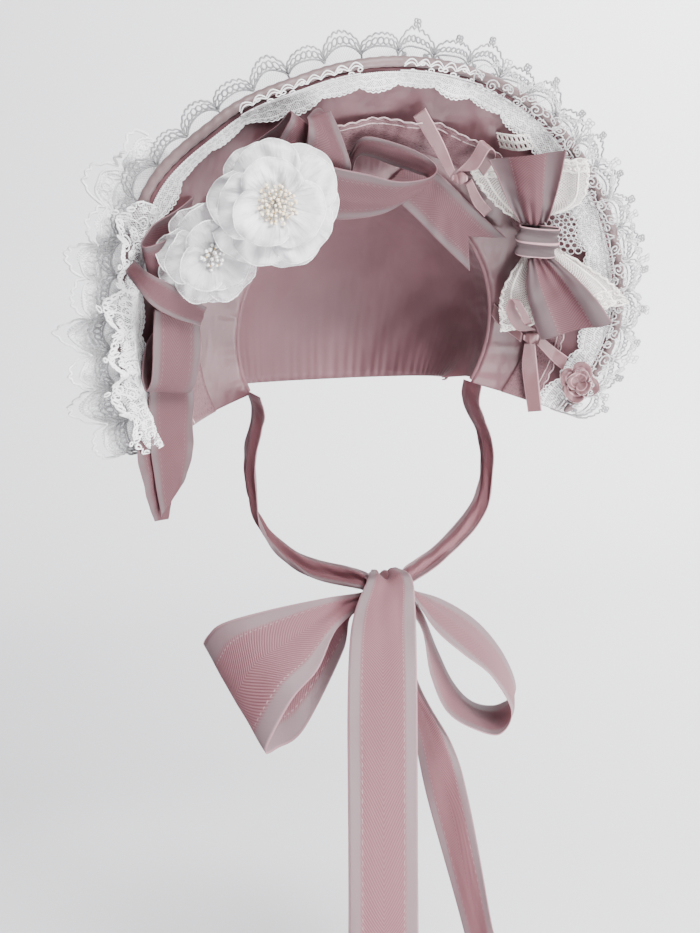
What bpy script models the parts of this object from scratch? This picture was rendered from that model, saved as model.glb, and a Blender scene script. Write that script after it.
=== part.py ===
# Costume bonnet: a flaring horseshoe brim with gathered lace, ribbon loops, two organza
# flowers, a lace-backed bow and chin ribbons tied in a bow.
# Metres, +Z up, the front faces -Y. The origin is where the crown sits on top of the head.
import math

import bmesh
import bpy
from mathutils import Matrix, Vector

# Driving sizes
head_half_width = 0.096          # half of the opening for the head
seat_rise = 0.003                # top of the opening above the crown's seat
brim_half_width = 0.180
brim_half_height = 0.172
brim_crest = 0.087               # top of the brim's edge above the crown's seat
brim_reach = 118.0               # degrees from the top of the brim to each of its ends
brim_wall = 0.003
brim_cup = 0.006                 # how far the brim is dished between its two edges
opening_front = (-0.012, 0.026)  # y of the inner edge at the top and at the ends
edge_front = (-0.056, 0.004)     # y of the outer edge at the top and at the ends
piping_radius = 0.0036
crown_wall = 0.0015
crown_depth = 0.112              # how far the crown reaches behind its front edge
crown_fullness = 0.10
crown_swing = 94.0               # degrees that the crown turns from its front edge to the nape
crown_narrowing = 0.12           # how much narrower it is at the nape
crown_bulge = 0.04
nape_set_back = 0.030
crown_gather = 0.0025
crown_pleats = 12
casing_width = 0.012
cloth = 0.001                    # wall of ribbons, lace and organza
clearance = 0.0003               # gap between pieces that touch
loop_ribbon = 0.040              # width of the ribbon in the loops on the brim
chin_ribbon = 0.050              # width of the ribbon that ties under the chin
narrow_ribbon = 0.010
large_flower_radius = 0.044
small_flower_radius = 0.036
petals_round = 5
inner_petals = 0.82              # inner layer of a flower as a share of its radius
inner_petal_lift = 0.20          # rise of the inner layer as a share of its own radius
petal_valley = 0.80              # reach between two petals as a share of a petal's own
flower_core = 0.26               # beaded middle as a share of the flower's radius
flower_core_rise = 0.195
stem_radius = 0.003
bow_pleats = 4
bow_pleat_depth = 0.0022
chin_knot_size = (0.030, 0.020, 0.024)   # width, thickness and height of the knot under the chin
strap_lap = 0.001                # how far a chin strap runs up inside the brim's end
knot_place = (-0.017, -0.078, -0.262)   # the knot under the chin

# Height above the lining at which a ribbon is sewn down, as a share of loop_ribbon
sewn = (cloth / 2.0 + 2.0 * clearance) / loop_ribbon
opening_center = seat_rise - head_half_width
edge_center = brim_crest - brim_half_height
ear_level = opening_center + head_half_width * math.cos(math.radians(brim_reach))
full_turn = 2.0 * math.pi
brim_steps = 36

# Outline of the brim's edge: degrees around, reach as a share of the half sizes
edge_outline = (
    (-130.0, 1.00), (-100.0, 1.00), (-80.0, 1.01), (-58.0, 1.06), (-40.0, 1.03), (-20.0, 1.00),
    (20.0, 1.00), (60.0, 0.98), (90.0, 0.99), (130.0, 0.88),
)
# Ribbons on the brim, a row for each place along the ribbon: for one edge and then the
# other, degrees around, share across the brim and height as a share of loop_ribbon.
brim_ribbons = {
    "side_loop_lower": (
        (-83.0, 0.97, 0.50, -79.0, 0.52, 0.52), (-91.3, 0.99, 0.57, -91.7, 0.48, 0.58),
        (-99.4, 1.00, 0.50, -102.4, 0.53, 0.50), (-102.9, 1.02, 0.37, -106.7, 0.60, 0.37),
        (-100.1, 1.00, 0.24, -104.2, 0.52, 0.24), (-92.8, 0.91, 0.20, -93.9, 0.43, 0.20),
        (-88.0, 0.79, 0.17, -87.6, 0.56, 0.17), (-84.2, 0.735, sewn, -83.4, 0.69, sewn),
    ),
    "side_tail_front": (
        (-100.6, 0.87, 0.11, -106.5, 0.45, 0.11), (-109.1, 0.98, 0.12, -115.2, 0.58, 0.12),
        (-118.3, 1.13, 0.16, -124.3, 0.81, 0.16), (-130.4, 1.41, 0.20, -127.8, 1.04, 0.20),
    ),
    "side_loop_upper": (
        (-58.6, 0.77, 0.56, -67.4, 0.48, 0.44), (-66.0, 0.95, 0.60, -73.8, 0.76, 0.46),
        (-69.8, 1.07, 0.58, -77.4, 0.98, 0.44), (-69.9, 1.10, 0.44, -76.4, 1.00, 0.33),
        (-65.7, 1.01, 0.28, -72.9, 0.91, 0.20), (-60.3, 0.85, 0.24, -68.4, 0.70, 0.17),
        (-55.4, 0.72, sewn, -59.6, 0.65, sewn),
    ),
    "side_wrap": (
        (-73.8, 1.05, 0.065, -76.2, 1.06, 0.065), (-74.2, 1.10, 0.40, -76.5, 1.16, 0.30),
        (-75.0, 1.08, 0.66, -78.5, 1.13, 0.58), (-76.2, 0.98, 0.75, -81.2, 1.02, 0.72),
        (-77.8, 0.78, 0.76, -84.0, 0.85, 0.74), (-79.6, 0.50, 0.70, -85.4, 0.54, 0.70),
    ),
    "loop_left_top": (
        (-36.5, 0.74, 0.60, -31.0, 0.50, 0.60), (-28.0, 0.99, 0.60, -22.8, 0.72, 0.60),
        (-27.5, 0.98, 0.40, -22.9, 0.77, 0.40), (-31.1, 0.83, 0.24, -25.2, 0.66, 0.22),
        (-36.3, 0.73, sewn, -33.0, 0.65, sewn),
    ),
    "loop_middle_top": (
        (-30.4, 0.48, 0.75, -21.0, 0.34, 0.75), (-25.1, 0.92, 0.75, -15.3, 0.41, 0.75),
        (-23.9, 0.95, 0.55, -18.7, 0.91, 0.55), (-19.3, 0.84, 0.25, -15.7, 0.53, 0.25),
        (-21.1, 0.45, 0.17, -16.1, 0.41, 0.17), (-21.8, 0.30, sewn, -17.5, 0.20, sewn),
    ),
    "crown_loop": (
        (-29.3, 0.72, 0.92, -35.6, 0.18, 0.60), (-21.9, 0.55, 1.00, -28.5, 0.06, 0.70),
        (-12.6, 0.37, 1.00, -18.0, 0.00, 0.75), (-0.1, 0.25, 1.00, -2.9, 0.00, 0.75),
        (10.2, 0.26, 0.85, 9.8, 0.10, 0.65), (15.2, 0.32, 0.60, 15.0, 0.21, 0.45),
        (13.1, 0.37, 0.38, 11.5, 0.22, 0.30), (3.5, 0.44, 0.31, 4.4, 0.24, 0.24),
        (-8.0, 0.50, 0.24, -8.4, 0.33, 0.18), (-12.0, 0.29, sewn, -11.0, 0.15, sewn),
    ),
    "swallow_tail": (
        (1.6, 0.05, sewn, 12.0, 0.31, sewn), (15.6, -0.08, 0.16, 24.0, 0.23, 0.16),
        (37.3, -0.17, 0.22, 40.5, 0.18, 0.22), (59.9, -0.11, 0.26, 56.4, 0.24, 0.26),
    ),
    "lace_tape": (
        (30.1, 0.72, sewn, 33.6, 0.65, sewn), (32.4, 0.82, 0.25, 36.2, 0.75, 0.25),
        (35.4, 0.90, 0.24, 38.9, 0.85, 0.24),
    ),
    "narrow_bow_top_tail": (
        (5.5, 0.66, 0.22, 8.1, 0.74, 0.20), (13.4, 0.45, 0.29, 16.6, 0.51, 0.29),
        (22.9, 0.28, 0.38, 23.2, 0.35, 0.38),
    ),
    "narrow_bow_top_loop": (
        (24.0, 0.35, 0.38, 26.4, 0.38, 0.38), (25.1, 0.50, 0.43, 29.2, 0.46, 0.43),
        (24.2, 0.69, 0.50, 28.2, 0.66, 0.50), (28.7, 0.62, 0.34, 32.2, 0.61, 0.34),
        (29.8, 0.45, 0.31, 33.5, 0.42, 0.31),
    ),
    "narrow_bow_top_end": (
        (29.6, 0.29, 0.36, 30.3, 0.35, 0.36), (37.1, 0.20, 0.28, 38.0, 0.28, 0.28),
        (43.9, 0.19, 0.27, 44.0, 0.27, 0.27),
    ),
    "narrow_bow_side_tail": (
        (97.35, 0.28, 0.36, 97.45, 0.38, 0.36), (107.7, 0.38, 0.22, 107.5, 0.54, 0.22),
        (121.7, 0.76, 0.20, 120.0, 0.88, 0.20),
    ),
    "narrow_bow_side_left": (
        (81.5, 0.02, sewn, 86.4, 0.00, sewn), (85.9, 0.09, 0.14, 90.7, 0.06, 0.14),
        (93.4, 0.235, 0.40, 96.4, 0.235, 0.40),
    ),
    "narrow_bow_side_loop": (
        (92.15, 0.34, 0.43, 92.15, 0.26, 0.43), (88.6, 0.23, 0.46, 90.4, 0.15, 0.46),
        (80.8, 0.14, 0.52, 81.7, 0.06, 0.52),
        (78.0, 0.17, 0.66, 76.0, 0.10, 0.66), (88.3, 0.29, 0.59, 88.5, 0.22, 0.59),
    ),
    "narrow_bow_side_right": (
        (94.6, 0.405, 0.40, 98.0, 0.405, 0.40), (99.6, 0.60, 0.25, 104.2, 0.64, 0.25),
        (102.3, 0.75, 0.20, 106.4, 0.77, 0.20),
    ),
}
# Pleated fans of the big bow, from the knot outwards, in the same columns
bow_fans = {
    "bow_wing_upper": (
        (51.9, 0.40, 0.62, 56.6, 0.62, 0.62), (42.8, 0.43, 0.67, 52.0, 0.77, 0.67),
        (34.8, 0.52, 0.62, 47.4, 0.92, 0.62), (29.9, 0.58, 0.50, 43.1, 1.02, 0.50),
    ),
    "bow_wing_lower": (
        (64.3, 0.33, 0.62, 66.6, 0.53, 0.62), (73.3, 0.24, 0.70, 76.5, 0.74, 0.70),
        (83.5, 0.27, 0.67, 83.6, 0.89, 0.67), (95.1, 0.40, 0.55, 90.7, 1.00, 0.55),
    ),
    "lace_wing_upper": (
        (55.9, 0.42, 0.28, 56.7, 0.57, 0.28), (43.7, 0.32, 0.26, 57.9, 0.92, 0.30),
        (33.9, 0.34, 0.19, 52.9, 1.05, 0.30), (28.9, 0.39, 0.18, 49.4, 1.10, 0.25),
    ),
    "lace_wing_lower": (
        (63.2, 0.38, 0.30, 64.2, 0.53, 0.30), (72.0, 0.10, 0.32, 75.9, 0.84, 0.35),
        (80.5, 0.03, 0.31, 81.6, 1.00, 0.35), (92.0, 0.05, 0.31, 86.9, 1.11, 0.30),
    ),
}
# Ribbons under the chin: for one edge and then the other, right, back and up from the knot
# as shares of chin_ribbon.
chin_ribbons = {
    "chin_loop_left": (
        (-0.336, -0.02, -0.02, -0.336, -0.06, -0.20), (-0.99, -0.32, 0.03, -0.84, -0.38, -0.40),
        (-1.90, -0.44, -0.04, -1.14, -0.46, -0.90), (-2.48, -0.36, -0.20, -1.50, -0.44, -1.30),
        (-2.60, -0.08, -0.51, -1.78, -0.16, -2.07), (-2.36, 0.20, -0.42, -1.54, 0.08, -2.15),
        (-1.68, 0.32, -0.30, -1.09, 0.28, -1.98), (-0.83, 0.28, -0.17, -0.51, 0.32, -0.95),
        (-0.40, 0.16, -0.10, -0.46, 0.14, -0.40),
    ),
    "chin_loop_right": (
        (0.336, 0.04, -0.06, 0.336, -0.08, -0.10), (1.01, 0.42, -0.37, 0.61, -0.34, -0.55),
        (1.62, 0.54, -0.80, 1.00, -0.38, -0.92), (2.09, 0.60, -1.39, 1.45, -0.36, -1.33),
        (2.28, 0.60, -1.90, 1.78, -0.32, -1.88), (1.97, 0.58, -2.10, 1.61, -0.30, -2.21),
        (1.57, 0.54, -1.98, 1.20, -0.32, -2.06), (1.20, 0.44, -1.60, 0.80, -0.30, -1.76),
        (0.91, 0.32, -1.07, 0.58, -0.28, -1.23), (0.62, 0.18, -0.44, 0.50, -0.14, -0.62),
    ),
    "chin_tail_front": (
        (-0.22, -0.03, 0.28, 0.14, -0.03, 0.28), (-0.40, -0.34, 0.22, 0.24, -0.34, 0.22),
        (-0.62, -0.44, -0.20, 0.27, -0.44, -0.20),
        (-0.69, -0.44, -0.83, 0.29, -0.44, -0.93), (-0.68, -0.36, -2.56, 0.35, -0.36, -2.69),
        (-0.66, -0.32, -4.83, 0.40, -0.32, -4.93), (-0.66, -0.31, -6.00, 0.41, -0.31, -5.60),
    ),
    "chin_tail_back": (
        (-0.07, 0.02, -0.265, 0.11, -0.02, -0.265), (0.10, 0.10, -1.06, 0.54, 0.00, -1.52),
        (0.43, 0.16, -2.00, 1.01, 0.00, -2.37), (0.78, 0.32, -3.30, 1.30, 0.04, -3.26),
        (1.47, 0.52, -5.55, 1.73, 0.16, -5.20), (1.55, 0.54, -5.95, 1.80, 0.18, -5.55),
    ),
}
# Each chin strap on its way from the brim's end to the knot: share of the way, bow outwards
# and bow back as shares of head_half_width, width as a share of chin_ribbon, lean of its
# width from flat in degrees.
strap_end = (0.33, 0.06, 0.13)   # where they meet the knot: out, back and up, in chin_ribbon
chin_strap_right = (
    (0.00, 0.00, -0.05, 0.66, 0.0), (0.12, 0.07, 0.00, 0.64, 2.0), (0.38, 0.36, 0.10, 0.56, 12.0),
    (0.69, 0.50, 0.18, 0.42, 30.0),
    (0.90, 0.26, 0.08, 0.30, 50.0), (1.00, 0.00, 0.00, 0.26, 65.0),
)
chin_strap_left = (
    (0.00, 0.00, -0.05, 0.66, 0.0), (0.12, 0.05, 0.00, 0.64, 2.0), (0.38, 0.29, 0.12, 0.58, 12.0),
    (0.70, 0.46, 0.22, 0.50, 30.0),
    (0.92, 0.34, 0.16, 0.36, 50.0), (1.00, 0.00, 0.00, 0.28, 65.0),
)
# Gathered strips: from and to in degrees around, share across where the strip starts (behind
# the brim or on its lining), width with inwards less than zero, waves, height of a wave, lean
# away from the brim and depth of the scallops as shares of the width
gathered_strips = {
    "edge_lace": (-brim_reach, brim_reach, 0.86, 0.033, 30, 0.006, -0.30, 0.28),
    "side_lace": (-brim_reach, -52.0, 0.80, 0.046, 10, 0.008, -0.60, 0.22),
    "inner_lace": (-brim_reach, brim_reach, 0.985, -0.020, 26, 0.003, -0.20, 0.30),
    "headline_ruffle": (-brim_reach, brim_reach, 0.34, 0.024, 24, 0.004, 0.24, 0.0),
}
strip_cells = {"edge_lace": (4, 3), "side_lace": (4, 3), "inner_lace": (3, 2),
               "headline_ruffle": (3, 1)}    # cells to a wave and across the width
# Fullness of the gathered strips: degrees around, share of the full wave
ruffle_fullness = (
    (-118.0, 0.1), (-20.0, 0.1), (-8.0, 0.3), (4.0, 0.4), (12.0, 0.8), (18.0, 0.8), (26.0, 0.1),
    (118.0, 0.1),
)
inner_lace_fullness = (
    (-118.0, 0.1), (-58.0, 0.1), (-48.0, 0.8), (-38.0, 0.1), (-22.0, 0.1), (-14.0, 0.7),
    (10.0, 1.0), (24.0, 0.6), (32.0, 0.1), (118.0, 0.1),
)
# Knots on the brim: degrees around, share across, height as a share of loop_ribbon, and
# width, thickness and length as shares of narrow_ribbon
brim_knots = {
    "bow_knot": (60.0, 0.47, 0.64, 3.2, 1.1, 2.1),
    "bow_base": (60.0, 0.47, 0.285, 1.2, 1.46, 1.2),
    "narrow_knot_top": (26.3, 0.31, 0.38, 1.1, 0.5, 0.9),
    "narrow_knot_side": (95.0, 0.32, 0.42, 1.1, 0.5, 0.9),
}
# Flat round trims: degrees around, share across, height as a share of loop_ribbon, radius and
# petals
round_trims = {
    "doily": (64.5, 0.76, 0.24, 0.019, 8),
    "rosette": (109.0, 0.97, 0.155, 0.015, 4),
}
# Flowers: degrees around, share across, height as a share of loop_ribbon, and the way the
# face looks, turned to the side and lifted in degrees.
flower_places = {
    "large_flower": (-42.6, 0.68, 1.36, 10.0, 2.0),
    "small_flower": (-65.3, 0.70, 0.945, 0.0, -8.0),
}
stem_foot = (-43.0, 0.29)        # degrees around and share across where the hidden stem stands
# Cup of the petals: share of the way out, rise as a share of the flower's radius
petal_cup = ((0.0, 0.00), (0.35, 0.05), (0.7, 0.12), (1.0, 0.10))


def blend(low, high, share):
    return low + (high - low) * share


# Smooth curve through the rows of a table whose first column is the place along it.
def table_value(rows, place):
    last = len(rows) - 1
    for step in range(last):
        if place <= rows[step + 1][0] or step == last - 1:
            break
    before, after = rows[step], rows[step + 1]
    share = min(max((place - before[0]) / (after[0] - before[0]), 0.0), 1.0)
    return blend(before[1], after[1], share * share * (3.0 - 2.0 * share))


def clear_scene():
    for old in list(bpy.data.objects):
        bpy.data.objects.remove(old, do_unlink=True)


def new_collection(name):
    group = bpy.data.collections.new(name)
    bpy.context.scene.collection.children.link(group)
    return group


def finish_material(name, color, roughness, metallic=0.0):
    material = bpy.data.materials.new(name)
    material.use_nodes = True
    shader = material.node_tree.nodes["Principled BSDF"]
    shader.inputs["Base Color"].default_value = (*color, 1.0)
    shader.inputs["Roughness"].default_value = roughness
    shader.inputs["Metallic"].default_value = metallic
    return material


# The brim's own coordinates: degrees around from its top, share across from the opening
# to the outer edge, and height above the lining.
def opening_point(around):
    turn = math.radians(around)
    low = (1.0 - math.cos(turn)) / 2.0
    return Vector((
        head_half_width * math.sin(turn),
        blend(opening_front[0], opening_front[1], low),
        opening_center + head_half_width * math.cos(turn),
    ))


def edge_point(around):
    turn = math.radians(around)
    low = (1.0 - math.cos(turn)) / 2.0
    reach = table_value(edge_outline, around)
    return Vector((
        brim_half_width * reach * math.sin(turn),
        blend(edge_front[0], edge_front[1], low),
        edge_center + brim_half_height * reach * math.cos(turn),
    ))


def lining_point(around, across):
    inner = opening_point(around)
    outer = edge_point(around)
    dish = brim_cup * math.sin(math.pi * min(max(across, 0.0), 1.0))
    back = (outer - inner).normalized().cross(brim_tangent(around))
    return inner.lerp(outer, across) + back * dish


def brim_tangent(around):
    return (opening_point(around + 0.5) - opening_point(around - 0.5)).normalized()


def lining_normal(around, across):
    step = 0.02
    along = lining_point(around + 1.0, across) - lining_point(around - 1.0, across)
    over = lining_point(around, across + step) - lining_point(around, across - step)
    return along.cross(over).normalized()


def brim_place(around, across, height):
    return lining_point(around, across) + lining_normal(around, across) * height


def link(group, name, mesh, material):
    piece = bpy.data.objects.new(name, mesh)
    mesh.materials.append(material)
    mesh.shade_smooth()
    group.objects.link(piece)
    return piece


# A cloth wall: a grid laid out by place(u, v), thickened to both sides of it.
def cloth_sheet(group, name, cells, place, wall, material, side=0.0, holes=None, ring=False):
    shape = bmesh.new()
    bmesh.ops.create_grid(shape, x_segments=cells[0], y_segments=cells[1], size=0.5)
    if holes:
        cut = [face for face in shape.faces if holes(*cell_of(face, cells))]
        bmesh.ops.delete(shape, geom=cut, context="FACES")
    for corner in shape.verts:
        corner.co = place(corner.co.x + 0.5, corner.co.y + 0.5)
    if ring:
        bmesh.ops.remove_doubles(shape, verts=shape.verts, dist=0.00001)
    mesh = bpy.data.meshes.new(name)
    shape.to_mesh(mesh)
    shape.free()
    piece = link(group, name, mesh, material)
    thicken = piece.modifiers.new("Wall", "SOLIDIFY")
    thicken.thickness = wall
    thicken.offset = side
    thicken.use_even_offset = False
    return piece


def cell_of(face, cells):
    middle = face.calc_center_median()
    return int((middle.x + 0.5) * cells[0]), int((middle.y + 0.5) * cells[1])


# The crown's own coordinates: degrees around its front seam, share back to the nape, and
# height outside its wall's middle.
def crown_middle(around, back):
    front = opening_point(around)
    rise = max(front.z - ear_level, 0.0)
    swing = math.radians(crown_swing) * back
    full = 1.0 + crown_fullness * math.sin(math.pi * back)
    depth = crown_depth / (seat_rise - ear_level)
    return Vector((
        front.x * (1.0 - crown_narrowing * back * back) * (1.0 + crown_bulge * math.sin(math.pi * back)),
        front.y + rise * depth * math.sin(swing) * full + nape_set_back * back,
        ear_level + rise * math.cos(swing) * full,
    ))


def crown_place(around, back, out):
    step = 0.02
    along = crown_middle(around + 1.0, back) - crown_middle(around - 1.0, back)
    over = crown_middle(around, back + step) - crown_middle(around, back - step)
    lift = along.cross(over).normalized()
    seam = brim_wall + clearance + crown_wall / 2.0
    return crown_middle(around, back) + lift * out + Vector((0.0, seam, 0.0))


def build_crown(group, material):
    reach = brim_reach - 2.0

    def place(u, v):
        around = blend(-reach, reach, u)
        fall = (1.0 - v) ** 1.5
        inside = min(8.0 * u, 8.0 * (1.0 - u), 4.0 * v + 0.2, 1.0)
        wave = crown_gather * fall * inside * math.sin(full_turn * crown_pleats * u)
        return crown_place(around, v, wave)

    def place_casing(u, v):
        around = blend(-reach, reach, u)
        edge_share = casing_width / (crown_depth * 1.6)
        out = crown_wall / 2.0 + 3.0 * clearance + cloth / 2.0
        return crown_place(around, 1.0 - edge_share * v, out)

    cloth_sheet(group, "crown", (48, 5), place, crown_wall, material)
    cloth_sheet(group, "crown_casing", (24, 1), place_casing, cloth, material)


def build_brim(group, material):
    def place(u, v):
        return brim_place(blend(-brim_reach, brim_reach, u), v, -brim_wall / 2.0)

    cloth_sheet(group, "brim", (brim_steps, 3), place, brim_wall, material)


def build_piping(group, material):
    steps = brim_steps
    cord = bpy.data.curves.new("edge_piping", "CURVE")
    cord.dimensions = "3D"
    cord.bevel_depth = piping_radius
    cord.bevel_resolution = 1
    cord.use_fill_caps = True
    line = cord.splines.new("POLY")
    line.points.add(steps)
    for step in range(steps + 1):
        around = blend(-brim_reach, brim_reach, step / steps)
        width = (edge_point(around) - opening_point(around)).length
        beyond = 1.0 + (piping_radius + 3.0 * clearance) / width
        line.points[step].co = (*brim_place(around, beyond, -brim_wall / 2.0), 1.0)
    piece = bpy.data.objects.new("edge_piping", cord)
    cord.materials.append(material)
    group.objects.link(piece)


# A gathered strip along the brim: it starts at one share across and stands out from there.
# Lace behind the brim has a hole in the middle of each scallop.
def build_strip(group, name, behind, material, fullness=None):
    low, high, across, width, waves, wave, lean, scallop = gathered_strips[name]
    columns, rows = strip_cells[name]
    height = -(brim_wall + clearance + cloth / 2.0) if behind else 2.0 * clearance + cloth / 2.0

    def place(u, v):
        around = blend(low, high, u)
        brim_width = (edge_point(around) - opening_point(around)).length
        lift = lining_normal(around, min(max(across, 0.0), 1.0))
        share = table_value(fullness, around) if fullness else 1.0
        arch = abs(math.sin(math.pi * waves * u))
        length = width * v * (1.0 - scallop + scallop * arch * v)
        swing = math.sin(full_turn * waves * u / 2.0) * wave * share * v ** 1.6
        rise = lean * length * (0.35 + 0.65 * share) + swing
        return lining_point(around, across + length / brim_width) + lift * (height + rise)

    def open_mesh(column, row):
        return row == 1 and column % columns == columns // 2

    cloth_sheet(group, name, (waves * columns, rows), place, cloth, material,
                holes=open_mesh if behind else None)


# Points on a smooth curve through given points, by Catmull and Rom's rule.
def curve_point(points, share):
    last = len(points) - 1
    place = min(max(share, 0.0), 1.0) * last
    step = min(int(place), last - 1)
    t = place - step
    p1 = points[step]
    p2 = points[step + 1]
    p0 = points[step - 1] if step else p1 * 2.0 - p2
    p3 = points[step + 2] if step + 2 <= last else p2 * 2.0 - p1
    return (p1 * 2.0 + (p2 - p0) * t + (p0 * 2.0 - p1 * 5.0 + p2 * 4.0 - p3) * t * t
            + (p1 * 3.0 - p0 - p2 * 3.0 + p3) * t ** 3) * 0.5


# A ribbon between two edges: notch cuts a swallow tail into its end, and pleats fold it.
def ribbon_between(group, name, first, second, cells, material, notch=0.0, pleat=0.0, pleats=0):
    def place(u, v):
        cut = 1.0 - notch * (1.0 - abs(2.0 * v - 1.0)) * u
        one = curve_point(first, u * cut)
        two = curve_point(second, u * cut)
        along = curve_point(first, u + 0.01) - curve_point(first, u - 0.01)
        lift = along.cross(two - one).normalized()
        fold = math.sin(math.pi * pleats * v) * math.sin(math.pi * (0.12 + 0.55 * u))
        return one.lerp(two, v) + lift * fold * pleat

    return cloth_sheet(group, name, cells, place, cloth, material)


def brim_edges(rows):
    first = [brim_place(row[0], row[1], row[2] * loop_ribbon) for row in rows]
    second = [brim_place(row[3], row[4], row[5] * loop_ribbon) for row in rows]
    return first, second


def build_brim_ribbons(group, twill, satin, lace):
    for name, rows in brim_ribbons.items():
        first, second = brim_edges(rows)
        narrow = name.startswith("narrow")
        material = satin if narrow else lace if name == "lace_tape" else twill
        cells = ((len(rows) - 1) * (2 if len(rows) > 6 else 3), 1 if narrow else 2)
        ribbon_between(group, name, first, second, cells, material,
                       notch=0.22 if name == "swallow_tail" else 0.0)
    for name, rows in bow_fans.items():
        first, second = brim_edges(rows)
        material = lace if name.startswith("lace") else twill
        ribbon_between(group, name, first, second, (5, 8), material, pleat=bow_pleat_depth,
                       pleats=bow_pleats)


def knot_point(row):
    reach = Vector(row) * chin_ribbon
    return Vector(knot_place) + reach


def build_chin(group, twill):
    for name, rows in chin_ribbons.items():
        first = [knot_point(row[:3]) for row in rows]
        second = [knot_point(row[3:]) for row in rows]
        cells = ((len(rows) - 1) * 2, 2)
        ribbon_between(group, name, first, second, cells, twill)
    build_strap(group, "chin_strap_right", chin_strap_right, 1.0, twill)
    build_strap(group, "chin_strap_left", chin_strap_left, -1.0, twill)


def build_strap(group, name, rows, side, material):
    inset = Vector((-side * (cloth / 2.0 + clearance), clearance, strap_lap))
    top = opening_point(side * brim_reach) + inset
    low = knot_point((side * strap_end[0], *strap_end[1:]))
    first = []
    second = []
    for share, out, back, width, lean in rows:
        bow = Vector((side * out, back, 0.0)) * head_half_width
        middle = top.lerp(low, share) + bow
        turn = math.radians(lean)
        half = Vector((0.0, math.cos(turn), math.sin(turn))) * chin_ribbon * width / 2.0
        first.append(middle - half)
        second.append(middle + half)
    ribbon_between(group, name, first, second, (12, 2), material)


# A knot: a rounded block, wider than it is thick.
def build_knot(group, name, size, place, turn, material):
    shape = bmesh.new()
    bmesh.ops.create_cube(shape, size=1.0)
    bmesh.ops.subdivide_edges(shape, edges=shape.edges, cuts=2, use_grid_fill=True)
    for corner in shape.verts:
        pull = corner.co.normalized() * 0.62
        corner.co = corner.co.lerp(pull, 0.55)
        corner.co = Vector((corner.co.x * size[0], corner.co.y * size[1], corner.co.z * size[2]))
    mesh = bpy.data.meshes.new(name)
    shape.to_mesh(mesh)
    shape.free()
    piece = link(group, name, mesh, material)
    piece.location = place
    piece.rotation_euler = turn


# Directions at a place on the brim: level to the right, back into it, and up along it.
def brim_axes(around, across):
    back = lining_normal(around, across) * -1.0
    side = (Vector((1.0, 0.0, 0.0)) - back * back.x).normalized()
    return Matrix((side, back, side.cross(back))).transposed().to_euler()


def build_knots(group, twill, satin):
    for name, (around, across, height, wide, thick, tall) in brim_knots.items():
        size = (wide * narrow_ribbon, thick * narrow_ribbon, tall * narrow_ribbon)
        material = twill if name == "bow_knot" else satin
        build_knot(group, name, size, brim_place(around, across, height * loop_ribbon),
                   brim_axes(around, across), material)
    build_knot(group, "chin_knot", chin_knot_size, Vector(knot_place), (0.0, 0.0, 0.0), twill)


def face_axes(turn_degrees, lift_degrees):
    turn = math.radians(turn_degrees)
    lift = math.radians(lift_degrees)
    out = Vector((-math.sin(turn) * math.cos(lift), -math.cos(turn) * math.cos(lift), math.sin(lift)))
    side = Vector((math.cos(turn), -math.sin(turn), 0.0))
    return side, out.cross(side) * -1.0, out


# One layer of petals: a ring of lobes round a small open middle.
def petal_layer(group, name, middle, axes, radius, lobes, turn, lift, material, steps=4, rows=2):
    side, up, out = axes
    hole = 0.10
    seat = cloth + clearance if lift else 0.0

    def place(u, v):
        angle = full_turn * u + turn
        lobe = abs(math.sin(angle * lobes / 2.0 - turn * lobes / 2.0))
        reach = radius * blend(hole, blend(petal_valley, 1.0, lobe ** 0.5), v)
        cup = table_value(petal_cup, v) * radius * (0.5 + 0.5 * lobe)
        return (middle + (side * math.cos(angle) + up * math.sin(angle)) * reach
                + out * (blend(seat, lift * radius, min(3.0 * v, 1.0)) + cup))

    return cloth_sheet(group, name, (lobes * steps, rows), place, cloth, material, ring=True)


def flower_center(group, name, middle, out, radius, material):
    shape = bmesh.new()
    bmesh.ops.create_uvsphere(shape, u_segments=10, v_segments=5, radius=radius)
    bmesh.ops.scale(shape, vec=(1.0, 1.0, 0.45), verts=shape.verts)
    mesh = bpy.data.meshes.new(name)
    shape.to_mesh(mesh)
    shape.free()
    piece = link(group, name, mesh, material)
    piece.location = middle
    piece.rotation_euler = out.to_track_quat("Z", "Y").to_euler()


# The hidden stem that holds a flower off the lining, widest under its petals.
def build_stem(group, name, foot, top, material):
    shape = bmesh.new()
    bmesh.ops.create_cone(shape, cap_ends=True, segments=8, radius1=stem_radius,
                          radius2=2.0 * stem_radius, depth=(top - foot).length)
    mesh = bpy.data.meshes.new(name)
    shape.to_mesh(mesh)
    shape.free()
    piece = link(group, name, mesh, material)
    piece.location = (foot + top) / 2.0
    piece.rotation_euler = (top - foot).to_track_quat("Z", "Y").to_euler()


def build_flowers(group, organza, pearl):
    for name, radius in (("large_flower", large_flower_radius), ("small_flower", small_flower_radius)):
        around, across, height, turn, lift = flower_places[name]
        middle = brim_place(around, across, height * loop_ribbon)
        axes = face_axes(turn, lift)
        lobe_turn = math.pi / petals_round
        petal_layer(group, name + "_outer", middle, axes, radius, petals_round, 0.0, 0.0, organza)
        petal_layer(group, name + "_inner", middle, axes, radius * inner_petals, petals_round,
                    lobe_turn, inner_petal_lift, organza)
        flower_center(group, name + "_center", middle + axes[2] * radius * flower_core_rise,
                      axes[2], radius * flower_core, pearl)
        if name == "large_flower":
            build_stem(group, name + "_stem", brim_place(*stem_foot, 2.0 * sewn * loop_ribbon),
                       middle - axes[2] * (cloth / 2.0 + clearance), organza)


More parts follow.
